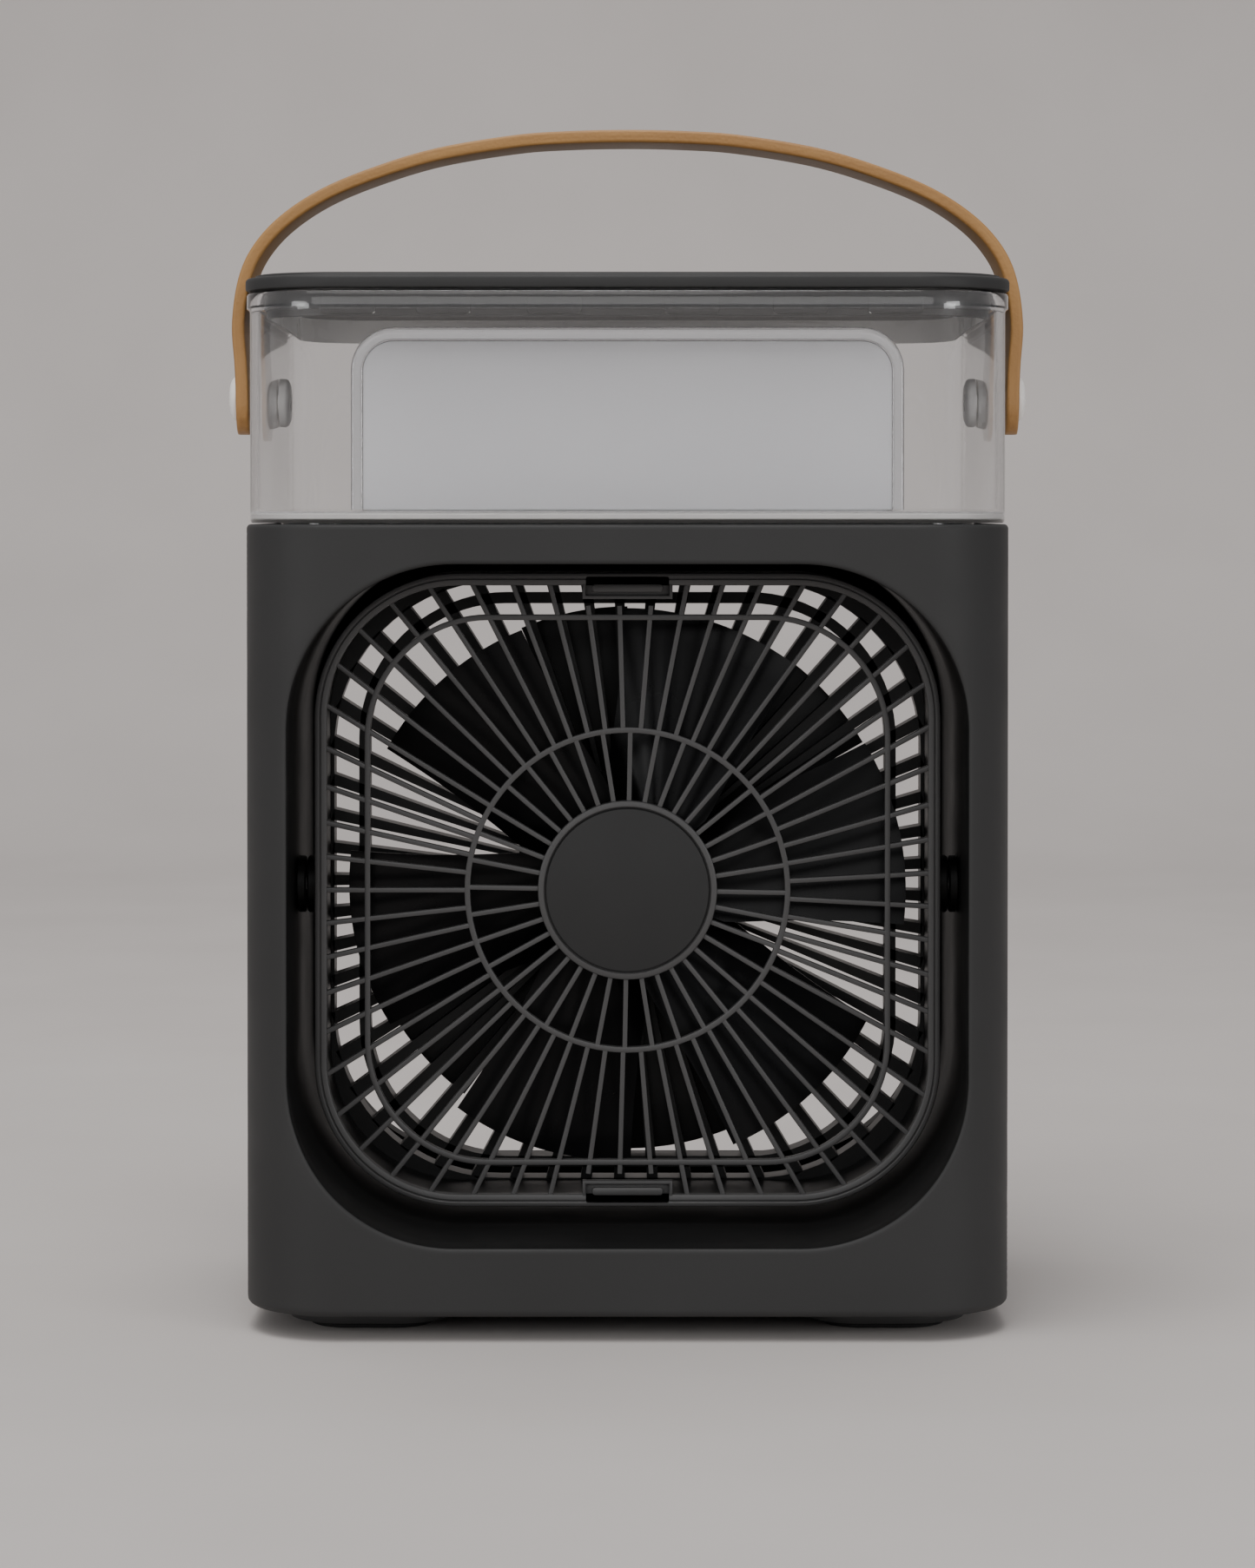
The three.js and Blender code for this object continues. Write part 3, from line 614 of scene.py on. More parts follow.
# %% [markdown]
# The rim at the top rolls over into a flat deck with a shallow well, where
# the tank sits. The underside rolls over the same way into a recess that
# holds the base plate. Both follow the points that the faces already have
# on their edges, so the welded seams leave no gap. The pockets for the
# buttons and the socket are cut out of the back. Little light reaches the
# tunnel, so its faces get a second, darker finish.

# %% Body: top deck, underside and rear cut-outs
def ring_of_edge(z_edge):
    """All plan distances where the faces end at this height, in order."""
    found = sorted({round(s, 6) for s, z in sheet_edge() if abs(z - z_edge) < 1e-6})
    front = [wrapped(s) for s in found]
    back = [(Vector((p.x, -p.y)), Vector((n.x, -n.y))) for p, n in reversed(front[1:-1])]
    return front + back


def rolled_edge(z_edge, way, radius, rows):
    """Loops that roll over an edge and go on over the (inset, height) rows."""
    ring = ring_of_edge(z_edge)
    steps = [(radius * (1 - math.cos(a)), z_edge + way * radius * math.sin(a))
             for a in [math.pi / 2 * i / 5 for i in range(6)]]
    loops = []
    for inset, z in steps + rows:
        loops.append([(*(p - n * inset), z) for p, n in ring])
    points, faces = skin(loops)
    return points, faces[:-2] + faces[-1:]


WELL_INSET, WELL_DEPTH = 7.5, 1.2
RECESS_INSET, RECESS_TOP = 2.3, 9.0
deck = rolled_edge(BODY_Z1 - TOP_ROUND, 1, TOP_ROUND,
                   [(WELL_INSET, BODY_Z1), (WELL_INSET, BODY_Z1 - WELL_DEPTH)])
underside = rolled_edge(BODY_Z0 + FOOT_ROUND, -1, FOOT_ROUND,
                        [(RECESS_INSET, BODY_Z0), (RECESS_INSET, RECESS_TOP)])
housing = piece("body_shell", "stand", "charcoal_plastic", charcoal,
                [faces_front, faces_back, deck, underside], ["housing"])


def cut_out(obj, shapes):
    """Cuts closed shapes out of a finished piece."""
    cutter = put_in_scene(obj.name + "_cut", shapes_mesh(obj.name + "_cut", shapes))
    modifier = obj.modifiers.new("cut", "BOOLEAN")
    modifier.operation, modifier.solver, modifier.object = "DIFFERENCE", "EXACT", cutter
    bpy.context.view_layer.update()
    result = bpy.data.meshes.new_from_object(
        obj.evaluated_get(bpy.context.evaluated_depsgraph_get()))
    obj.modifiers.clear()
    obj.data = result
    tidy_mesh(result, SHARP)
    bpy.data.objects.remove(cutter)


def back_face(u, v, depth):
    return (u, depth, v)


button_centres = [middle_of(*box_mm(f"button_{i}"), "xz") for i in (1, 2, 3)]
socket_lo, socket_hi = box_mm("power_socket")
socket_at = middle_of(socket_lo, socket_hi, "xz")
POCKET_Y = 52.0
pockets = [turned([(3.3, POCKET_Y), (3.3, HALF_D + 1)], back_face, segments=40, at=c)
           for c in button_centres]
pockets.append(sweep([(0, POCKET_Y), (0, HALF_D + 1)], 4.8, 1.9, 1.7, back_face,
                     steps=8, at=socket_at))
cut_out(housing, pockets)


def in_tunnel(face):
    """True for faces of the tunnel and of the inner sides of its two lips."""
    x, y, z = face.center / MM
    over = Vector((max(abs(x) - OPEN_X + OPEN_R, 0), max(abs(z - AXIS_Z) - OPEN_Z + OPEN_R, 0)))
    inside = over.length < OPEN_R + DUCT_GROW + 0.3
    return inside and (abs(face.normal.y) < 0.3 or abs(y) < HALF_D - LIP_DEPTH + 1)


# The tunnel's faces get the painted shade instead of the body's charcoal.
housing.data.materials.append(tunnel_painted_shade)
for face in housing.data.polygons:
    face.material_index = 1 if in_tunnel(face) else 0
print("body shell:", len(housing.data.polygons), "faces")

# %% [markdown]
# The fan unit's front is a thin frame with a groove along it, two rings and
# straight bars: thirty-six inner ones, then two rows of fifty-seven. The bars
# are the face of this product, so each is a real bar with rounded front
# corners. Their ends are found by asking where a ray from the middle meets
# each ring, so they always touch.

# %% Front grille: frame, rings and bars
FRAME_W = 2.9
BAR_W, RING_W, RING_PROUD = 1.15, 1.35, 0.08
CIRCLE_R = 37.7
SQUARE_X, SQUARE_Z, SQUARE_R = 61.2, 64.2, 28.5
CUP_R, DISC_R = 21.1, 19.2
INNER_BARS, OUTER_BARS = 36, 57
INNER_TURN, OUTER_TURN = -1.0, 91.6
GRILLE_FRONT, GRILLE_BACK = -18.0, -15.3
BAR_FRONT, BAR_EDGE = -17.4, 0.22


def ray_to_square(half_x, half_z, radius, angle):
    """Where a ray from the middle meets a rounded rectangle."""
    c, s = math.cos(angle), math.sin(angle)
    ax, az = abs(c), abs(s)
    reach = min(half_x / max(ax, 1e-9), half_z / max(az, 1e-9))
    cx, cz = half_x - radius, half_z - radius
    if reach * ax > cx and reach * az > cz:
        b = ax * cx + az * cz
        reach = b + math.sqrt(max(b * b - (cx * cx + cz * cz - radius * radius), 0))
    return (reach * c, reach * s)


def on_circle(radius, angle):
    return (radius * math.cos(angle), radius * math.sin(angle))


POCKET_HALF, POCKET_LOW, POCKET_HIGH = 9.8, 69.3, 73.8
POCKET_WALL, POCKET_END, POCKET_FLOOR = 0.8, 72.2, -16.4
STUB_HALF, STUB_END = 11.2, 66.9
frame_section = [
    (0, GRILLE_BACK - 0.1), (0, -17.5), (0.15, -17.85), (0.45, GRILLE_FRONT),
    (0.95, GRILLE_FRONT), (1.08, -17.9), (1.12, -17.55), (1.42, -17.55),
    (1.46, -17.9), (1.6, GRILLE_FRONT), (2.5, GRILLE_FRONT), (2.78, -17.85),
    (FRAME_W, -17.5), (FRAME_W, GRILLE_BACK - 0.1)]
grille_shapes = [sweep(frame_section, POD_X, POD_Z, POD_R, facing_front, True, 20)]
grille = piece("front_grille_frame", "fan_pod", "charcoal_plastic", grille_grey, grille_shapes)
notches = []
for way in (1, -1):
    low, high = sorted((way * POCKET_LOW, way * POCKET_HIGH))
    notches.append(sweep([(0, GRILLE_FRONT - 1), (0, POCKET_FLOOR)], POCKET_HALF, (high - low) / 2,
                         0.6, facing_front, steps=4, at=(0, (low + high) / 2)))
cut_out(grille, notches)
print("frame:", len(grille.data.polygons), "faces")

# %% [markdown]
# The bars come in three rows: from the hub cup to the small circle, from
# there to the rounded square, and on to the frame. Where a finger latch has
# its pocket the last row stops short, and a low U-shaped wall closes it.

# %% Front grille: rows of bars
def grille_bar(start, end):
    return bar_between(start, end, BAR_W, BAR_FRONT, GRILLE_BACK, BAR_EDGE, facing_front)


def frame_at(angle):
    inset = FRAME_W - 0.5
    return ray_to_square(POD_X - inset, POD_Z - inset, POD_R - inset, angle)


shapes = []
for i in range(INNER_BARS):
    a = math.radians(INNER_TURN + 360 * i / INNER_BARS)
    shapes.append(grille_bar(on_circle(CUP_R - 0.5, a), on_circle(CIRCLE_R, a)))
for i in range(OUTER_BARS):
    a = math.radians(OUTER_TURN + 360 * i / OUTER_BARS)
    on_square = ray_to_square(SQUARE_X, SQUARE_Z, SQUARE_R, a)
    shapes.append(grille_bar(on_circle(CIRCLE_R, a), on_square))
    end = frame_at(a)
    if abs(end[0]) < STUB_HALF and abs(end[1]) > SQUARE_Z:
        end = (end[0] * STUB_END / abs(end[1]), math.copysign(STUB_END, end[1]))
    shapes.append(grille_bar(on_square, end))
half_ring = RING_W / 2
flat_ring = ring_section(RING_W, BAR_FRONT - RING_PROUD, GRILLE_BACK)
shapes.append(turned([(CIRCLE_R + half_ring - d, y) for d, y in flat_ring],
                     facing_front, True, 96))
shapes.append(sweep(flat_ring, SQUARE_X + half_ring, SQUARE_Z + half_ring,
                    SQUARE_R + half_ring, facing_front, True, 20))
wall, low_wall = POCKET_HALF + POCKET_WALL, POCKET_LOW - POCKET_WALL
u_shape = [(-wall, POCKET_END), (-wall, low_wall), (wall, low_wall), (wall, POCKET_END),
           (POCKET_HALF, POCKET_END), (POCKET_HALF, POCKET_LOW),
           (-POCKET_HALF, POCKET_LOW), (-POCKET_HALF, POCKET_END)]
floor_half, floor_low, floor_high = POCKET_HALF + 0.4, POCKET_LOW - 0.4, 73.9
floor = [(-floor_half, floor_low), (floor_half, floor_low),
         (floor_half, floor_high), (-floor_half, floor_high)]
for way in (1, -1):
    for flat, front, edge in ((u_shape, GRILLE_FRONT, 0.2), (floor, POCKET_FLOOR, 0.02)):
        shapes.append(slab([(way * u, way * v) for u, v in flat], front, GRILLE_BACK, edge,
                           facing_front))
bars = piece("front_grille_bars", "fan_pod", "charcoal_plastic", grille_grey, shapes,
             ["front_grille"])
print("bars:", INNER_BARS, "+", OUTER_BARS, "twice,", len(bars.data.polygons), "faces")

# %% [markdown]
# A shallow cup stands in the middle of the grille, and a flat disc is
# pressed into it with a hair-line gap all round. Both are turned shapes.
# The two latches are small rounded tongues lying in their pockets.

# %% Hub cup, disc and latches
cup = [(CUP_R - 1.9, -16.5), (CUP_R - 1.5, -16.6), (CUP_R - 1.5, -17.8), (CUP_R - 1.3, -18.0),
       (CUP_R - 0.35, -18.0), (CUP_R - 0.1, -17.85), (CUP_R, -17.5), (CUP_R, GRILLE_BACK)]
piece("hub_cup", "fan_pod", "charcoal_plastic", grille_grey,
      [turned([(1.0, -16.5)] + cup + [(1.0, GRILLE_BACK)], facing_front, segments=96)])
disc = [(1.0, -16.8), (DISC_R, -16.8), (DISC_R, -17.6), (DISC_R - 0.12, -17.8),
        (DISC_R - 0.4, -17.9), (1.0, -17.9)]
piece("front_disc_cover", "fan_pod", "charcoal_plastic", charcoal,
      [turned(disc, facing_front, segments=96)], ["front_disc"])
for label in ("top", "bottom"):
    low, high = box_mm(f"grille_latch_{label}")
    middle = (low.z + high.z) / 2 - AXIS_Z
    section = [(0.25, -16.7), (0, -16.9), (0, -17.55), (0.12, -17.78), (0.4, -17.9)]
    piece(f"latch_{label}", "fan_pod", "charcoal_plastic", grille_grey,
          [sweep(section, high.x, (high.z - low.z) / 2, 0.72, facing_front, steps=6,
                 at=(0, middle))], [f"grille_latch_{label}"])
print("hub cup, disc and two latches made")

# %% [markdown]
# Behind the grille a plain square shroud carries everything, with a round
# boss at each side for the tilt pin. The pins turn in flanged bushings that
# are pressed into the body, so the whole fan unit nods on them.

# %% Shroud and tilt bearings
shroud_lo, shroud_hi = box_mm("fan_shroud")
SHROUD_T = 2.0
y0, y1 = shroud_lo.y, shroud_hi.y
shroud_section = [(0.35, y0), (0, y0 + 0.35), (0, y1 - 0.2), (0.2, y1), (SHROUD_T, y1),
                  (SHROUD_T, y0 + 0.3), (SHROUD_T - 0.3, y0)]
shapes = [sweep(shroud_section, POD_X, POD_Z, POD_R, facing_front, True, 20)]


def tilt_axis(side):
    """Places turned parts on the tilt axis of the right (1) or left (-1) side."""
    def place(u, v, depth):
        return (side * depth, u, AXIS_Z + v)
    return place


for side in (1, -1):
    boss = [(3.45, POD_X - 1.5), (6.85, POD_X - 1.5), (6.85, 75.9), (6.5, shroud_hi.x),
            (3.7, shroud_hi.x), (3.45, shroud_hi.x - 0.25)]
    shapes.append(turned(boss, tilt_axis(side), True))
piece("shroud", "fan_pod", "charcoal_plastic", dark, shapes, ["fan_shroud"])
for label, side in (("left", -1), ("right", 1)):
    bushing = [(3.3, 76.6), (6.5, 76.6), (6.8, 76.9), (6.8, 78.4), (5.0, 78.4), (5.0, 83.0),
               (3.3, 83.0)]
    piece(f"bushing_{label}", "stand", "dark_plastic", dark,
          [turned(bushing, tilt_axis(side), True)], [f"pivot_bushing_{label}"])
    pin = [(0.8, 71.7), (3.9, 71.7), (4.3, 72.1), (4.3, 73.4), (3.25, 73.4), (3.25, 82.0),
           (2.9, 82.4), (0.8, 82.4)]
    piece(f"tilt_pin_{label}", "fan_pod", "steel", steel,
          [turned(pin, tilt_axis(side), segments=40)], [f"pivot_pin_{label}"])
print("shroud, two bushings and two pins made")

# %% [markdown]
# The rear guard is the deep one. Its fins widen outward and are deep from
# front to back, so they look solid from the side and open from straight
# behind. Four wide arms reach out from the motor seat in its middle.

# %% Rear guard
GUARD_Y0, GUARD_Y1 = pod_lo.y, pod_hi.y
SEAT_R, SEAT_FLOOR = 23.0, 15.6
GUARD_RING_W = 2.6
GUARD_X, GUARD_Z, GUARD_R = 63.5, 68.2, 34.0
EDGE_X, EDGE_Z, EDGE_R = 70.8, 72.2, 40.0
FIN_SHARE = 0.036               # width of a fin for each millimetre from the axis
GAP_ANGLE = -18.5
FIN_START, FIN_SINK = 26.0, 0.4
ARM_HALF = 11.5                 # degrees either way
ARM_START, ARM_END, ARM_FRONT = 24.0, 66.0, 15.8
GUARD_EDGE = 0.35
outer_rim, inner_rim = (POD_X, POD_Z, POD_R), (EDGE_X, EDGE_Z, EDGE_R)
frame_profile = [(outer_rim, 0, GUARD_Y0), (outer_rim, 0, GUARD_Y1 - GUARD_EDGE),
                 (outer_rim, 0.1, GUARD_Y1 - 0.1), (outer_rim, GUARD_EDGE, GUARD_Y1),
                 (inner_rim, -0.3, GUARD_Y1), (inner_rim, 0, GUARD_Y1 - 0.3),
                 (inner_rim, 0, GUARD_Y0)]
loops = []
for (rim_x, rim_z, rim_r), inset, depth in frame_profile:
    loops.append([facing_front(u, v, depth)
                  for u, v in outline(rim_x - inset, rim_z - inset, rim_r - inset, 20)])
shapes = [skin(loops, True)]
ring_half = GUARD_RING_W / 2
ring_profile = [(0, GUARD_Y0), (0, GUARD_Y1 - 0.3), (0.3, GUARD_Y1),
                (GUARD_RING_W - 0.3, GUARD_Y1), (GUARD_RING_W, GUARD_Y1 - 0.3),
                (GUARD_RING_W, GUARD_Y0)]
shapes.append(sweep(ring_profile, GUARD_X + ring_half, GUARD_Z + ring_half,
                    GUARD_R + ring_half, facing_front, True, 20))
for i in range(OUTER_BARS):
    a = math.radians(OUTER_TURN + 360 * i / OUTER_BARS)
    end = ray_to_square(EDGE_X + FIN_SINK, EDGE_Z + FIN_SINK, EDGE_R + FIN_SINK, a)
    shapes.append(bar_between(on_circle(FIN_START, a), end, FIN_SHARE * FIN_START, GUARD_Y1,
                              GUARD_Y0, 0.0, facing_front, FIN_SHARE * Vector(end).length))
seat = [(1.0, SEAT_FLOOR), (SEAT_R, SEAT_FLOOR), (SEAT_R, GUARD_Y0 + 0.4),
        (SEAT_R + 0.4, GUARD_Y0), (27.0, GUARD_Y0), (27.0, GUARD_Y1 - 0.5),
        (26.5, GUARD_Y1), (1.0, GUARD_Y1)]
shapes.append(turned(seat, facing_front, segments=96))
for k in (1, 2, 4, 5):
    arm = []
    for radius, way in ((ARM_START, -1), (ARM_END, 1)):
        for j in range(-4, 5):
            turn = GAP_ANGLE + 60 * k + way * j / 4 * ARM_HALF
            arm.append(on_circle(radius, math.radians(turn)))
    shapes.append(slab(arm, ARM_FRONT, GUARD_Y1, 0.3, facing_front))
piece("guard", "fan_pod", "dark_plastic", dark, shapes, ["rear_guard"])
print("rear guard made with", OUTER_BARS, "fins")

# %% [markdown]
# The fan wheel is one glossy black moulding: a cup-shaped hub and six broad
# blades. Each blade is a twisted sheet. Its rows run outward, its columns
# run along the airflow, and the thickness fades to nothing at its edges,
# which is how a moulded blade really ends.

# %% Fan wheel
BLADES = 6
HUB_R, TIP_R = 18.0, 66.0
BLADE_T = 1.3


def blade_point(radius, u, gap_at):
    """A point of the blade's middle surface; u runs across the blade."""
    open_angle = 23 * (1 - math.exp(-(radius - 26) / 14))
    width = min(60 - open_angle, 62)
    a = math.radians(gap_at + 30 - width / 2 + width * u)
    depth = -11 + 10.2 * u - 1.2 * math.sin(math.pi * u)
    return Vector((radius * math.cos(a), radius * math.sin(a), depth))


def blade(index):
    """A closed blade: front and back sheets joined round a thin edge."""
    rows, columns = 14, 18
    loops = []
    for i in range(rows + 1):
        radius = HUB_R - 0.8 + (TIP_R - HUB_R + 0.8) * i / rows
        fade = 1.0 if i < rows else 0.45
        front, back = [], []
        for j in range(columns + 1):
            u = j / columns
            middle = blade_point(radius, u, GAP_ANGLE + 60 * index)
            rise = math.sin(math.pi * min(max(u, 0.04), 0.96))
            thick = BLADE_T * fade * (0.3 + 0.7 * rise ** 0.5)
            centre = middle.z + BLADE_T / 2
            front.append(facing_front(middle.x, middle.y, centre - thick / 2))
            back.append(facing_front(middle.x, middle.y, centre + thick / 2))
        loops.append(front + back[::-1])
    return skin(loops)


hub = [(1.6, -12.5), (15.6, -12.5), (17.2, -12.2), (18.0, -11.2), (18.0, 0.6), (17.6, 1.0),
       (16.4, 1.0), (16.0, 0.6), (16.0, -10.2), (15.6, -10.5), (4.0, -10.5), (4.0, -5.5),
       (1.6, -5.5)]
wheel_shapes = [turned(hub, facing_front, True, 72)]
wheel_shapes += [blade(i) for i in range(BLADES)]
piece("fan_blades", "fan_rotor", "fan_black", fan_black, wheel_shapes, ["fan_wheel"], sharp=50)
nut = [(1.6, -14.7), (2.9, -14.7), (3.4, -14.3), (3.4, -12.8), (1.6, -12.8)]
piece("spinner_nut", "fan_rotor", "dark_plastic", dark, [turned(nut, facing_front, True)],
      ["fan_nut"])
print("fan wheel:", BLADES, "blades, tip radius", TIP_R)

# %% [markdown]
# The motor is a small drawn steel can with a plastic end cap. It sits in
# the guard's seat, its shaft reaching forward into the fan's hub. Little of
# it shows, so simple turned shapes with rounded rims are enough.

# %% Motor
can = [(3.3, 15.2), (13.2, 15.2), (14.0, 14.4), (14.0, -2.2), (13.0, -2.2), (13.0, 14.0),
       (5.0, 14.0), (5.0, 10.5), (3.3, 10.5)]
piece("motor_shell", "fan_pod", "steel", steel, [turned(can, facing_front, True, 64)],
      ["motor_can"])
end_cap = [(3.3, -4.0), (13.5, -4.0), (14.0, -3.6), (14.0, -2.5), (12.7, -2.5), (12.7, -0.8),
           (3.3, -0.8)]
piece("motor_front_cap", "fan_pod", "dark_plastic", dark,
      [turned(end_cap, facing_front, True, 64)], ["motor_end_cap"])
shaft = [(0.4, -14.4), (1.1, -14.4), (1.5, -14.0), (1.5, 14.5), (1.2, 14.8), (0.4, 14.8)]
piece("motor_axle", "fan_rotor", "steel", steel, [turned(shaft, facing_front, segments=32)],
      ["motor_shaft"])
print("motor made")

# %% [markdown]
# The tank is a thin clear tub with a flared rim and a stepped floor that
# plugs into the deck. A see-through part needs its true inside as well as
# its outside: the section below goes up the outer wall, over the rim, down
# the inner wall and across the floor. A thin grey sheet inside the floor,
# tank_floor_core, makes it show as a solid layer.

# %% Water tank
TANK_X, TANK_Y, TANK_R = 86.7, 59.2, 21.2
RIM_Z = 233.7
tank_section = [
    (7.1, tank_lo.z), (7.1, 185.0), (0.5, 185.0), (0.15, 185.15), (0, 185.5),
    (0, RIM_Z - 0.6), (-0.15, RIM_Z - 0.2), (-0.7, RIM_Z + 0.2), (-0.7, tank_hi.z - 0.5),
    (-0.45, tank_hi.z - 0.1), (-0.1, tank_hi.z), (1.5, tank_hi.z), (1.9, tank_hi.z - 0.2),
    (2.0, tank_hi.z - 0.6), (2.0, 188.5), (2.25, 187.75), (3.0, 187.5)]
tank = piece("clear_tank", "stand", "clear_plastic", clear,
             [sweep(tank_section, TANK_X, TANK_Y, TANK_R, facing_up, steps=24)],
             ["water_tank"])
core_section = [(0.2, 185.9), (0, 186.1), (0, 187.0), (0.2, 187.2)]
piece("tank_floor_core", "stand", "frosted_plastic", cap_grey,
      [sweep(core_section, TANK_X - 0.7, TANK_Y - 0.7, TANK_R - 0.7, facing_up, steps=24)])
print("tank:", len(tank.data.polygons), "faces")

# %% [markdown]
# Inside the tank stands an arch of the same clear plastic that forms the
# mist chamber, closed by a frosted panel at the front and back. The arch is
# a rounded section carried along a path of two uprights and a top; its
# section's corners are what draws the fine double line round the panel.

# %% Mist chamber
ARCH_X, ARCH_Z0, ARCH_Z1, ARCH_R, ARCH_Y = 64.0, 187.8, 230.8, 10.0, 32.0


def arch_path():
    """Points along the arch with the outward normal and wall at each."""
    path = [((ARCH_X, ARCH_Z0), (1, 0), 3.0)]
    for side in (1, -1):
        for i in range(13):
            a = math.pi / 2 * i / 12
            a = a if side > 0 else math.pi / 2 + a
            nx, nz = math.cos(a), math.sin(a)
            path.append(((side * (ARCH_X - ARCH_R) + ARCH_R * nx, ARCH_Z1 - ARCH_R + ARCH_R * nz),
                         (nx, nz), 3.0 + 0.4 * nz))
    path.append(((-ARCH_X, ARCH_Z0), (-1, 0), 3.0))
    return path


loops = []
for (x, z), (nx, nz), wall in arch_path():
    loop = []
    for inset, y in outline(wall / 2, ARCH_Y, 0.8, 6):
        depth_in = inset + wall / 2
        loop.append((x - nx * depth_in, y, z - nz * depth_in))
    loops.append(loop)
piece("chamber_arch", "stand", "clear_plastic", arch_clear, [skin(loops)], ["chamber_frame"])


def panel_outline(half_x, z0, z1, radius):
    """Upright panel with square feet and rounded shoulders, anticlockwise."""
    points = [(-half_x, z0), (half_x, z0)]
    for side in (1, -1):
        for i in range(11):
            a = math.pi / 2 * (i / 10 if side > 0 else 1 + i / 10)
            points.append((side * (half_x - radius) + radius * math.cos(a),
                           z1 - radius + radius * math.sin(a)))
    return points


for label in ("front", "rear"):
    low, high = box_mm(f"chamber_panel_{label}")
    flat = panel_outline(high.x + 0.5, low.z, high.z + 0.5, 7.0)
    piece(f"frosted_panel_{label}", "stand", "frosted_plastic", frosted,
          [slab(flat, low.y, high.y, 0.15, back_face)], [f"chamber_panel_{label}"])
print("chamber arch and two frosted panels made")

# %% [markdown]
# The lid is a charcoal plate with a step, over a skirt that drops into the
# tank's mouth. The skirt's lower edge carries six shallow clip lugs at the
# front and six at the back, behind the clear wall. The skirt gets a darker
# copy of the charcoal, painted shade under the lid. Its inner side is painted
# pale, painted light that makes it look as bright as the backdrop through the
# tank, so it hardly shows.

# %% Lid, skirt and lugs
LID_R = 22.2
lid_section = [(3.0, lid_lo.z), (0.5, lid_lo.z), (0.1, lid_lo.z + 0.2), (0, lid_lo.z + 0.6),
               (0, 240.0), (0.15, 240.5), (0.5, 240.8), (1.0, 240.9), (1.9, 240.9),
               (2.1, 241.1), (2.3, 241.45), (2.8, lid_hi.z)]
piece("lid_plate", "tank_lid", "charcoal_plastic", charcoal,
      [sweep(lid_section, lid_hi.x, lid_hi.y, LID_R, facing_up, steps=20)], ["lid"])
SKIRT_X, SKIRT_Y, SKIRT_R = 83.5, 55.6, 18.0
skirt_section = [(1.5, 237.7), (0.2, 237.7), (0, 237.5), (0, 233.95), (0.15, 233.75),
                 (0.6, 233.7), (0.6, 232.15), (0.75, 231.95), (0.9, 231.9), (1.5, 231.9)]
shapes = [sweep(skirt_section, SKIRT_X, SKIRT_Y, SKIRT_R, facing_up, True, 20)]
LUG_X = (-63.0, -41.5, -16.5, 14.5, 39.0, 60.5)
LUG_HALF, LUG_Z0, LUG_Z1, LUG_PROUD = 6.2, 232.4, 235.8, 0.8
for x in LUG_X:
    for way in (-1, 1):
        base = way * (SKIRT_Y - 0.8)
        proud = way * (SKIRT_Y - 0.6 + LUG_PROUD)
        rim = [(x + u, v) for u, v in outline(LUG_HALF, (LUG_Z1 - LUG_Z0) / 2, 0.9, 5)]
        rim = [(u, v + (LUG_Z0 + LUG_Z1) / 2) for u, v in rim]
        shapes.append(slab(rim, base, proud, 0.3, back_face))
collar = piece("lid_collar", "tank_lid", "charcoal_plastic", collar_painted_shade, shapes,
               ["lid_skirt"])
# Painted light: the skirt's inner faces, and its downward faces toward the middle, are made pale
# white so that through the tank they look as bright as the backdrop.
collar.data.materials.append(white)
for face in collar.data.polygons:
    x, y, z = face.center / MM
    inner = abs(x) < SKIRT_X - 1.2 and abs(y) < SKIRT_Y - 1.2 or face.normal.z < -0.5
    toward_middle = face.normal.x * x + face.normal.y * y < 0
    face.material_index = 1 if inner and toward_middle else 0
print("lid, skirt and", 2 * len(LUG_X), "lugs made")

# %% [markdown]
# The handle is a flat leather strap, three millimetres thick, that springs
# up into an arch and hangs down both sides. A smooth curve through a few
# points gives its side view; a rounded flat section is carried along it,
# and the section narrows over the last millimetres to round off the ends.

# %% Strap handle
STRAP_T, STRAP_END = 3.0, 7.0
STRAP_SIDE = [(0, 277.8), (14, 277.5), (26.5, 276.6), (44.7, 273.6), (59, 269.4), (72, 264.1),
              (82, 257.6), (88.6, 250.4), (92.1, 242.6), (93.6, 232), (93.0, 222),
              (92.7, 214), (92.7, strap_lo.z)]


def smooth_curve(points, per_span=8):
    """A curve that passes through every point without corners."""
    ends = [Vector(points[0]) * 2 - Vector(points[1]), Vector(points[-1]) * 2 - Vector(points[-2])]
    p = [ends[0]] + [Vector(q) for q in points] + [ends[1]]
    curve = []
    for i in range(1, len(p) - 2):
        for k in range(per_span):
            t = k / per_span
            curve.append(0.5 * (2 * p[i] + (p[i + 1] - p[i - 1]) * t
                                + (2 * p[i - 1] - 5 * p[i] + 4 * p[i + 1] - p[i + 2]) * t * t
                                + (3 * p[i] - p[i - 1] - 3 * p[i + 1] + p[i + 2]) * t ** 3))
    return curve + [p[-2]]


half = [Vector((-x, z)) for x, z in STRAP_SIDE[:0:-1]]
path = smooth_curve(half + [Vector(p) for p in STRAP_SIDE])
reach = [0.0]
for a, b in zip(path, path[1:]):
    reach.append(reach[-1] + (b - a).length)
total = reach[-1]
# Extra sections near each end draw its rounded corner.
stations = [STRAP_END * (1 - math.cos(math.pi / 2 * k / 8)) for k in range(8)]
stations = stations + [d for d in reach if STRAP_END < d < total - STRAP_END] \
    + [total - d for d in reversed(stations)]


def along_path(distance):
    """Point and direction at a distance along the strap."""
    i = min(max(sum(1 for d in reach if d <= distance) - 1, 0), len(path) - 2)
    span = path[i + 1] - path[i]
    return path[i] + span * (distance - reach[i]) / span.length, span.normalized()


def tangent_at(distance):
    """Direction averaged over a short stretch, so the section turns evenly."""
    total_way = Vector((0, 0))
    for shift in (-1.5, 0, 1.5):
        total_way += along_path(min(max(distance + shift, 0), total))[1]
    return total_way.normalized()


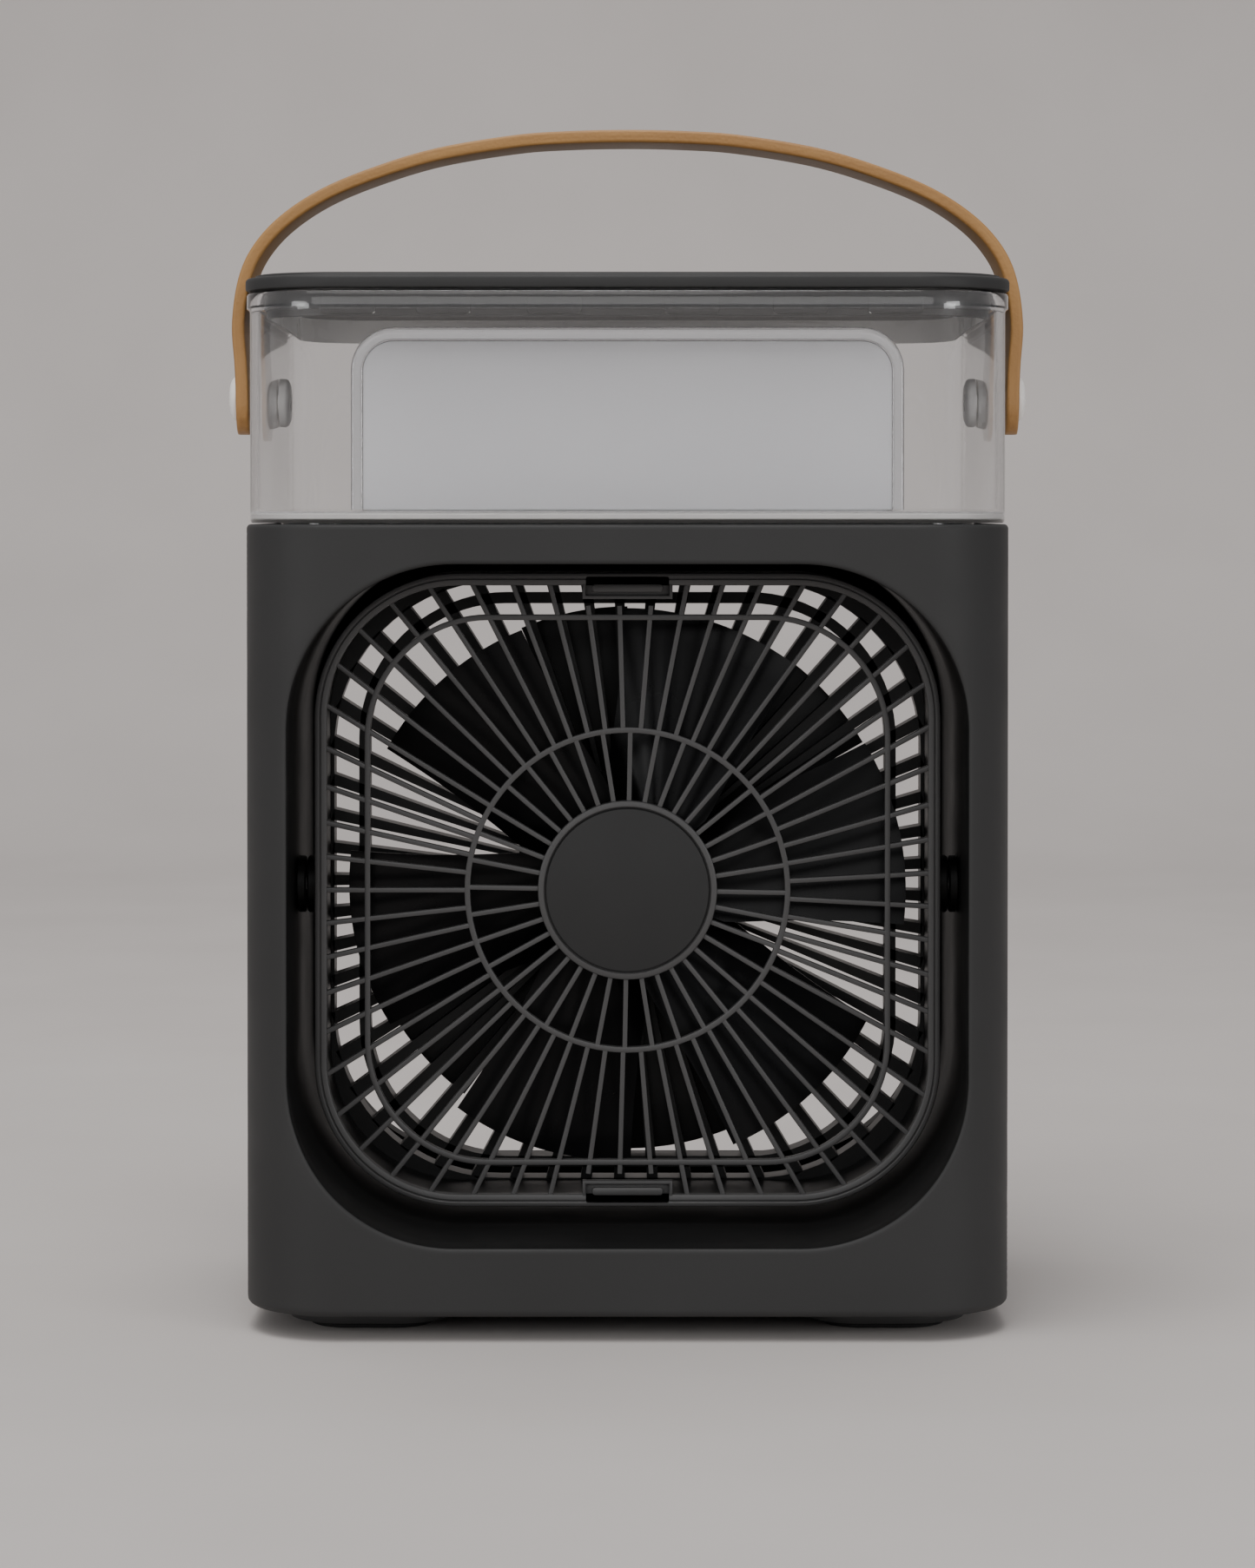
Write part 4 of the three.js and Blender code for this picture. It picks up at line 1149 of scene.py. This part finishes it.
half_width = strap_hi.y
loops = []
for distance in stations:
    point, _ = along_path(distance)
    way = tangent_at(distance)
    normal = Vector((way.y, -way.x))
    from_end = min(distance, total - distance)
    width = half_width
    if from_end < STRAP_END:
        width -= STRAP_END - math.sqrt(max(STRAP_END ** 2 - (STRAP_END - from_end) ** 2, 0))
    loop = []
    for u, v in outline(width, STRAP_T / 2, 0.75, 5):
        inward = STRAP_T / 2 + v
        spot = point + normal * inward
        loop.append((spot.x, u, spot.y))
    loops.append(loop)
strap = piece("strap", "carry_strap", "tan_leather", tan, [skin(loops)], ["handle_strap"])
run_at = strap.data.attributes.new("strap_run", "FLOAT_VECTOR", "POINT")
for vertex, value in zip(strap.data.vertices, run_at.data):
    flat = Vector((vertex.co.x, vertex.co.z)) / MM
    nearest = min(range(len(path)), key=lambda k: (path[k] - flat).length)
    along_it, way = along_path(reach[nearest])
    distance = reach[nearest] + (flat - along_it).dot(way)
    across_it = (flat - along_it).dot(Vector((way.y, -way.x)))
    value.vector = (distance * MM, vertex.co.y, across_it * MM)
print("strap length", round(total), "mm,", len(stations), "sections")

# %% [markdown]
# A white domed rivet goes through each strap end and the tank wall, with a
# spacer between and a soft cap inside. All are turned about the same cross
# axis, so the strap can swing on them.

# %% Rivets
RIVET_Z = (rivet_lo.z + rivet_hi.z) / 2


def rivet_axis(side):
    def place(u, v, depth):
        return (side * depth, u, RIVET_Z + v)
    return place


for label, side in (("left", -1), ("right", 1)):
    place = rivet_axis(side)
    head = rivet_hi.x
    dome = [(0.5, rivet_lo.x), (2.05, rivet_lo.x), (2.05, 92.9), (4.9, 92.9), (5.25, 93.15),
            (5.25, 93.5), (5.0, 93.95), (4.3, 94.45), (3.2, head - 0.2), (1.8, head - 0.05),
            (0.5, head)]
    piece(f"rivet_{label}", "carry_strap", "white_plastic", white,
          [turned(dome, place, segments=56)], [f"handle_rivet_{label}"])
    low, high = box_mm(f"handle_spacer_{label}")
    near, far = sorted((abs(low.x), abs(high.x)))
    ring = [(2.3, near), (4.2, near), (4.5, near + 0.3), (4.5, far - 0.3), (4.2, far), (2.3, far)]
    piece(f"spacer_{label}", "carry_strap", slot_of[f"handle_spacer_{label}"],
          cap_grey, [turned(ring, place, True)], [f"handle_spacer_{label}"])
    low, high = box_mm(f"rivet_cap_{label}")
    near, far = sorted((abs(low.x), abs(high.x)))
    button = [(2.2, near), (4.4, near), (5.4, near + 0.5), (5.8, near + 1.2), (5.8, far),
              (2.2, far)]
    piece(f"inner_cap_{label}", "carry_strap", slot_of[f"rivet_cap_{label}"],
          cap_grey, [turned(button, place, True)], [f"rivet_cap_{label}"])
print("rivets at height", RIVET_Z)

# %% [markdown]
# The body stands on four wide feet with a soft pad under each. Screws with
# cross recesses hold the base plate between them. They are small, but the
# object is judged from below too, so the heads are domed and cut.

# %% Feet, pads and base screws
CORNERS = ("front_left", "front_right", "rear_left", "rear_right")
CROSS_LONG, CROSS_WIDE, CROSS_DEPTH = 1.7, 0.32, 0.75
for corner in CORNERS:
    low, high = box_mm(f"foot_{corner}")
    centre = middle_of(low, high)
    foot = [(6.0, 2.9), (4.6, 2.9), (4.6, low.z + 0.3), (4.2, low.z), (1.6, low.z),
            (0.6, low.z + 0.25), (0.1, low.z + 1.0), (0, low.z + 1.6), (0, BODY_Z0),
            (1.0, BODY_Z0 + 0.3), (6.0, BODY_Z0 + 0.3)]
    piece(f"foot_block_{corner}", "stand", slot_of[f"foot_{corner}"], foot_grey,
          [sweep(foot, *half_of(low, high), 13.5, facing_up, steps=14, at=centre)],
          [f"foot_{corner}"])
    low, high = box_mm(f"foot_pad_{corner}")
    pad = [(1.0, low.z), (0.3, low.z + 0.15), (0, low.z + 0.6), (0, high.z)]
    piece(f"pad_{corner}", "stand", "rubber", rubber,
          [sweep(pad, *half_of(low, high), 9.6, facing_up, steps=12, at=centre)],
          [f"foot_pad_{corner}"])
    low, high = box_mm(f"base_screw_{corner}")
    at = middle_of(low, high)
    screw_section = [(1.0, low.z), (2.2, low.z + 0.1), (2.9, low.z + 0.45), (3.2, low.z + 0.9),
                     (3.2, 5.7), (1.4, 5.7), (1.4, high.z - 1.2), (0.4, high.z)]
    screw = piece(f"screw_{corner}", "stand", "steel", steel,
                  [turned(screw_section, facing_up, segments=40, at=at)],
                  [f"base_screw_{corner}"])
    for half_x, half_y in ((CROSS_LONG, CROSS_WIDE), (CROSS_WIDE, CROSS_LONG)):
        cut_out(screw, [sweep([(0, low.z - 1), (0, low.z + CROSS_DEPTH)], half_x, half_y, 0.1,
                              facing_up, steps=2, at=at)])
print("feet, pads and screws at", len(CORNERS), "corners")

# %% [markdown]
# Three round buttons and a power socket sit in a row low on the back. The
# button faces are slightly domed. The socket is a steel shell round a small
# contact tongue, the shape that any modern lead plugs into.

# %% Buttons and socket
for i, at in enumerate(button_centres, start=1):
    low, high = box_mm(f"button_{i}")
    cap = [(0.5, low.y), (4.0, low.y), (4.0, 56.0), (3.0, 56.0), (3.0, high.y - 0.7),
           (2.8, high.y - 0.35), (2.3, high.y - 0.12), (1.2, high.y - 0.02), (0.5, high.y)]
    piece(f"button_cap_{i}", f"push_button_{i}", slot_of[f"button_{i}"], dark,
          [turned(cap, back_face, segments=40, at=at)], [f"button_{i}"])
shell = [(0, socket_lo.y), (0, socket_hi.y - 0.15), (0.15, socket_hi.y), (0.4, socket_hi.y),
         (0.4, 54.0), (1.2, 54.0)]
tongue = [(0, 53.8), (0, 58.6), (0.12, 58.8)]
piece("socket_shell", "stand", "steel", steel,
      [sweep(shell, *half_of(socket_lo, socket_hi, "xz"), 1.5, back_face, steps=8,
             at=socket_at)], ["power_socket"])
piece("socket_tongue", "stand", "dark_plastic", dark,
      [sweep(tongue, 3.1, 0.35, 0.15, back_face, steps=3, at=socket_at)])
print("buttons at", [tuple(round(v, 1) for v in c) for c in button_centres])

# %% [markdown]
# The set is one sheet of painted board: a floor that curves up into a wall,
# far enough behind for a camera to walk round the object. One continuous
# sheet has no corner line, and its colour drifts a little, like brushed
# paint, so that it isn't dead flat.

# %% Floor and backdrop
def painted_board(name, first, second):
    """Dull paint whose colour drifts between two tones."""
    material, nodes, links, shader = start_material(name)
    strokes = noise_field(nodes, links, 9, 6.0)
    links.new(blend_colours(nodes, links, strokes, first, second), shader.inputs["Base Color"])
    set_inputs(shader, Roughness=0.9, Specular_IOR_Level=0.15)
    return material


BOARD_FRONT, BEND_START, BEND_R, BOARD_TOP, BOARD_HALF = -2600.0, 1150.0, 500.0, 3000.0, 3000.0
profile = [(BOARD_FRONT, 0.0)]
for i in range(33):
    a = math.pi / 2 * i / 32
    profile.append((BEND_START + BEND_R * math.sin(a), BEND_R * (1 - math.cos(a))))
profile.append((BEND_START + BEND_R, BOARD_TOP))
points = [Vector((x, y, z)) * MM for x in (-BOARD_HALF, BOARD_HALF) for y, z in profile]
count = len(profile)
board_mesh = bpy.data.meshes.new("backdrop")
board_mesh.from_pydata(points, [], [(i, i + 1, count + i + 1, count + i)
                                    for i in range(count - 1)])
for face in board_mesh.polygons:
    face.use_smooth = True
board_mesh.materials.append(painted_board("painted_board", (0.53, 0.497, 0.478),
                                          (0.56, 0.527, 0.508)))
put_in_scene("backdrop", board_mesh)
print("backdrop bends up", BEND_START, "mm behind the middle")

# %% [markdown]
# A large soft box high in front gives the even light, and a wide one lower
# down fills the front. One box above lights the lid and the floor, and one
# lights the wall. Two low boxes at the front sides are there for the clear
# tank's rounded corners. A grey world fills the shadows.

# %% Lights
def softbox(name, place, aim, width, height, power, colour=(1, 1, 1)):
    """A flat light aimed at a point; lengths in metres, power in watts."""
    data = bpy.data.lights.new(name, "AREA")
    data.shape = "RECTANGLE"
    data.size, data.size_y = width, height
    data.energy, data.color = power, colour
    light = put_in_scene(name, data)
    light.location = place
    light.rotation_euler = (Vector(aim) - Vector(place)).to_track_quat("-Z", "Y").to_euler()


softbox("key", (-0.45, -1.2, 1.55), (0, 0, 0.15), 1.4, 1.0, 6.5, (1.0, 0.985, 0.965))
softbox("fill", (-0.2, -1.85, 0.72), (0, 0, 0.2), 2.0, 0.6, 6.0, (1.0, 0.99, 0.98))
softbox("strip_left", (-0.985, -0.81, 0.33), (-0.066, -0.038, 0.26), 0.38, 0.32, 2.2)
softbox("strip_right", (0.93, -0.87, 0.33), (0.066, -0.038, 0.26), 0.34, 0.32, 2.8)
softbox("top", (-0.15, -0.45, 1.9), (0, -0.3, 0), 1.2, 0.8, 19.0, (1.0, 0.985, 0.97))
softbox("wall", (0.0, 0.45, 1.7), (0, 1.6, 0.55), 1.6, 0.5, 9.0, (1.0, 0.99, 0.98))
world = bpy.data.worlds.new("studio")
bpy.context.scene.world = world
world.use_nodes = True
set_inputs(world.node_tree.nodes["Background"], Color=(0.95, 0.96, 1.0, 1), Strength=0.38)

# %% [markdown]
# The camera stands a metre in front, level with the top of the body, and
# looks a little down. A long lens keeps the sides nearly parallel. A small
# shift places the object in the frame without tilting its uprights.

# %% Camera
camera_data = bpy.data.cameras.new("camera")
camera_data.sensor_width = 36.0
camera_data.lens = 97.0
camera_data.shift_y = -0.129
camera_data.clip_start, camera_data.clip_end = 0.05, 20.0
camera = put_in_scene("camera", camera_data)
camera.location = (0.0, -1.010, 0.1884)
camera.rotation_euler = (math.radians(89.0), 0.0, 0.0)
bpy.context.scene.camera = camera
print("camera at", tuple(round(v, 3) for v in camera.location))
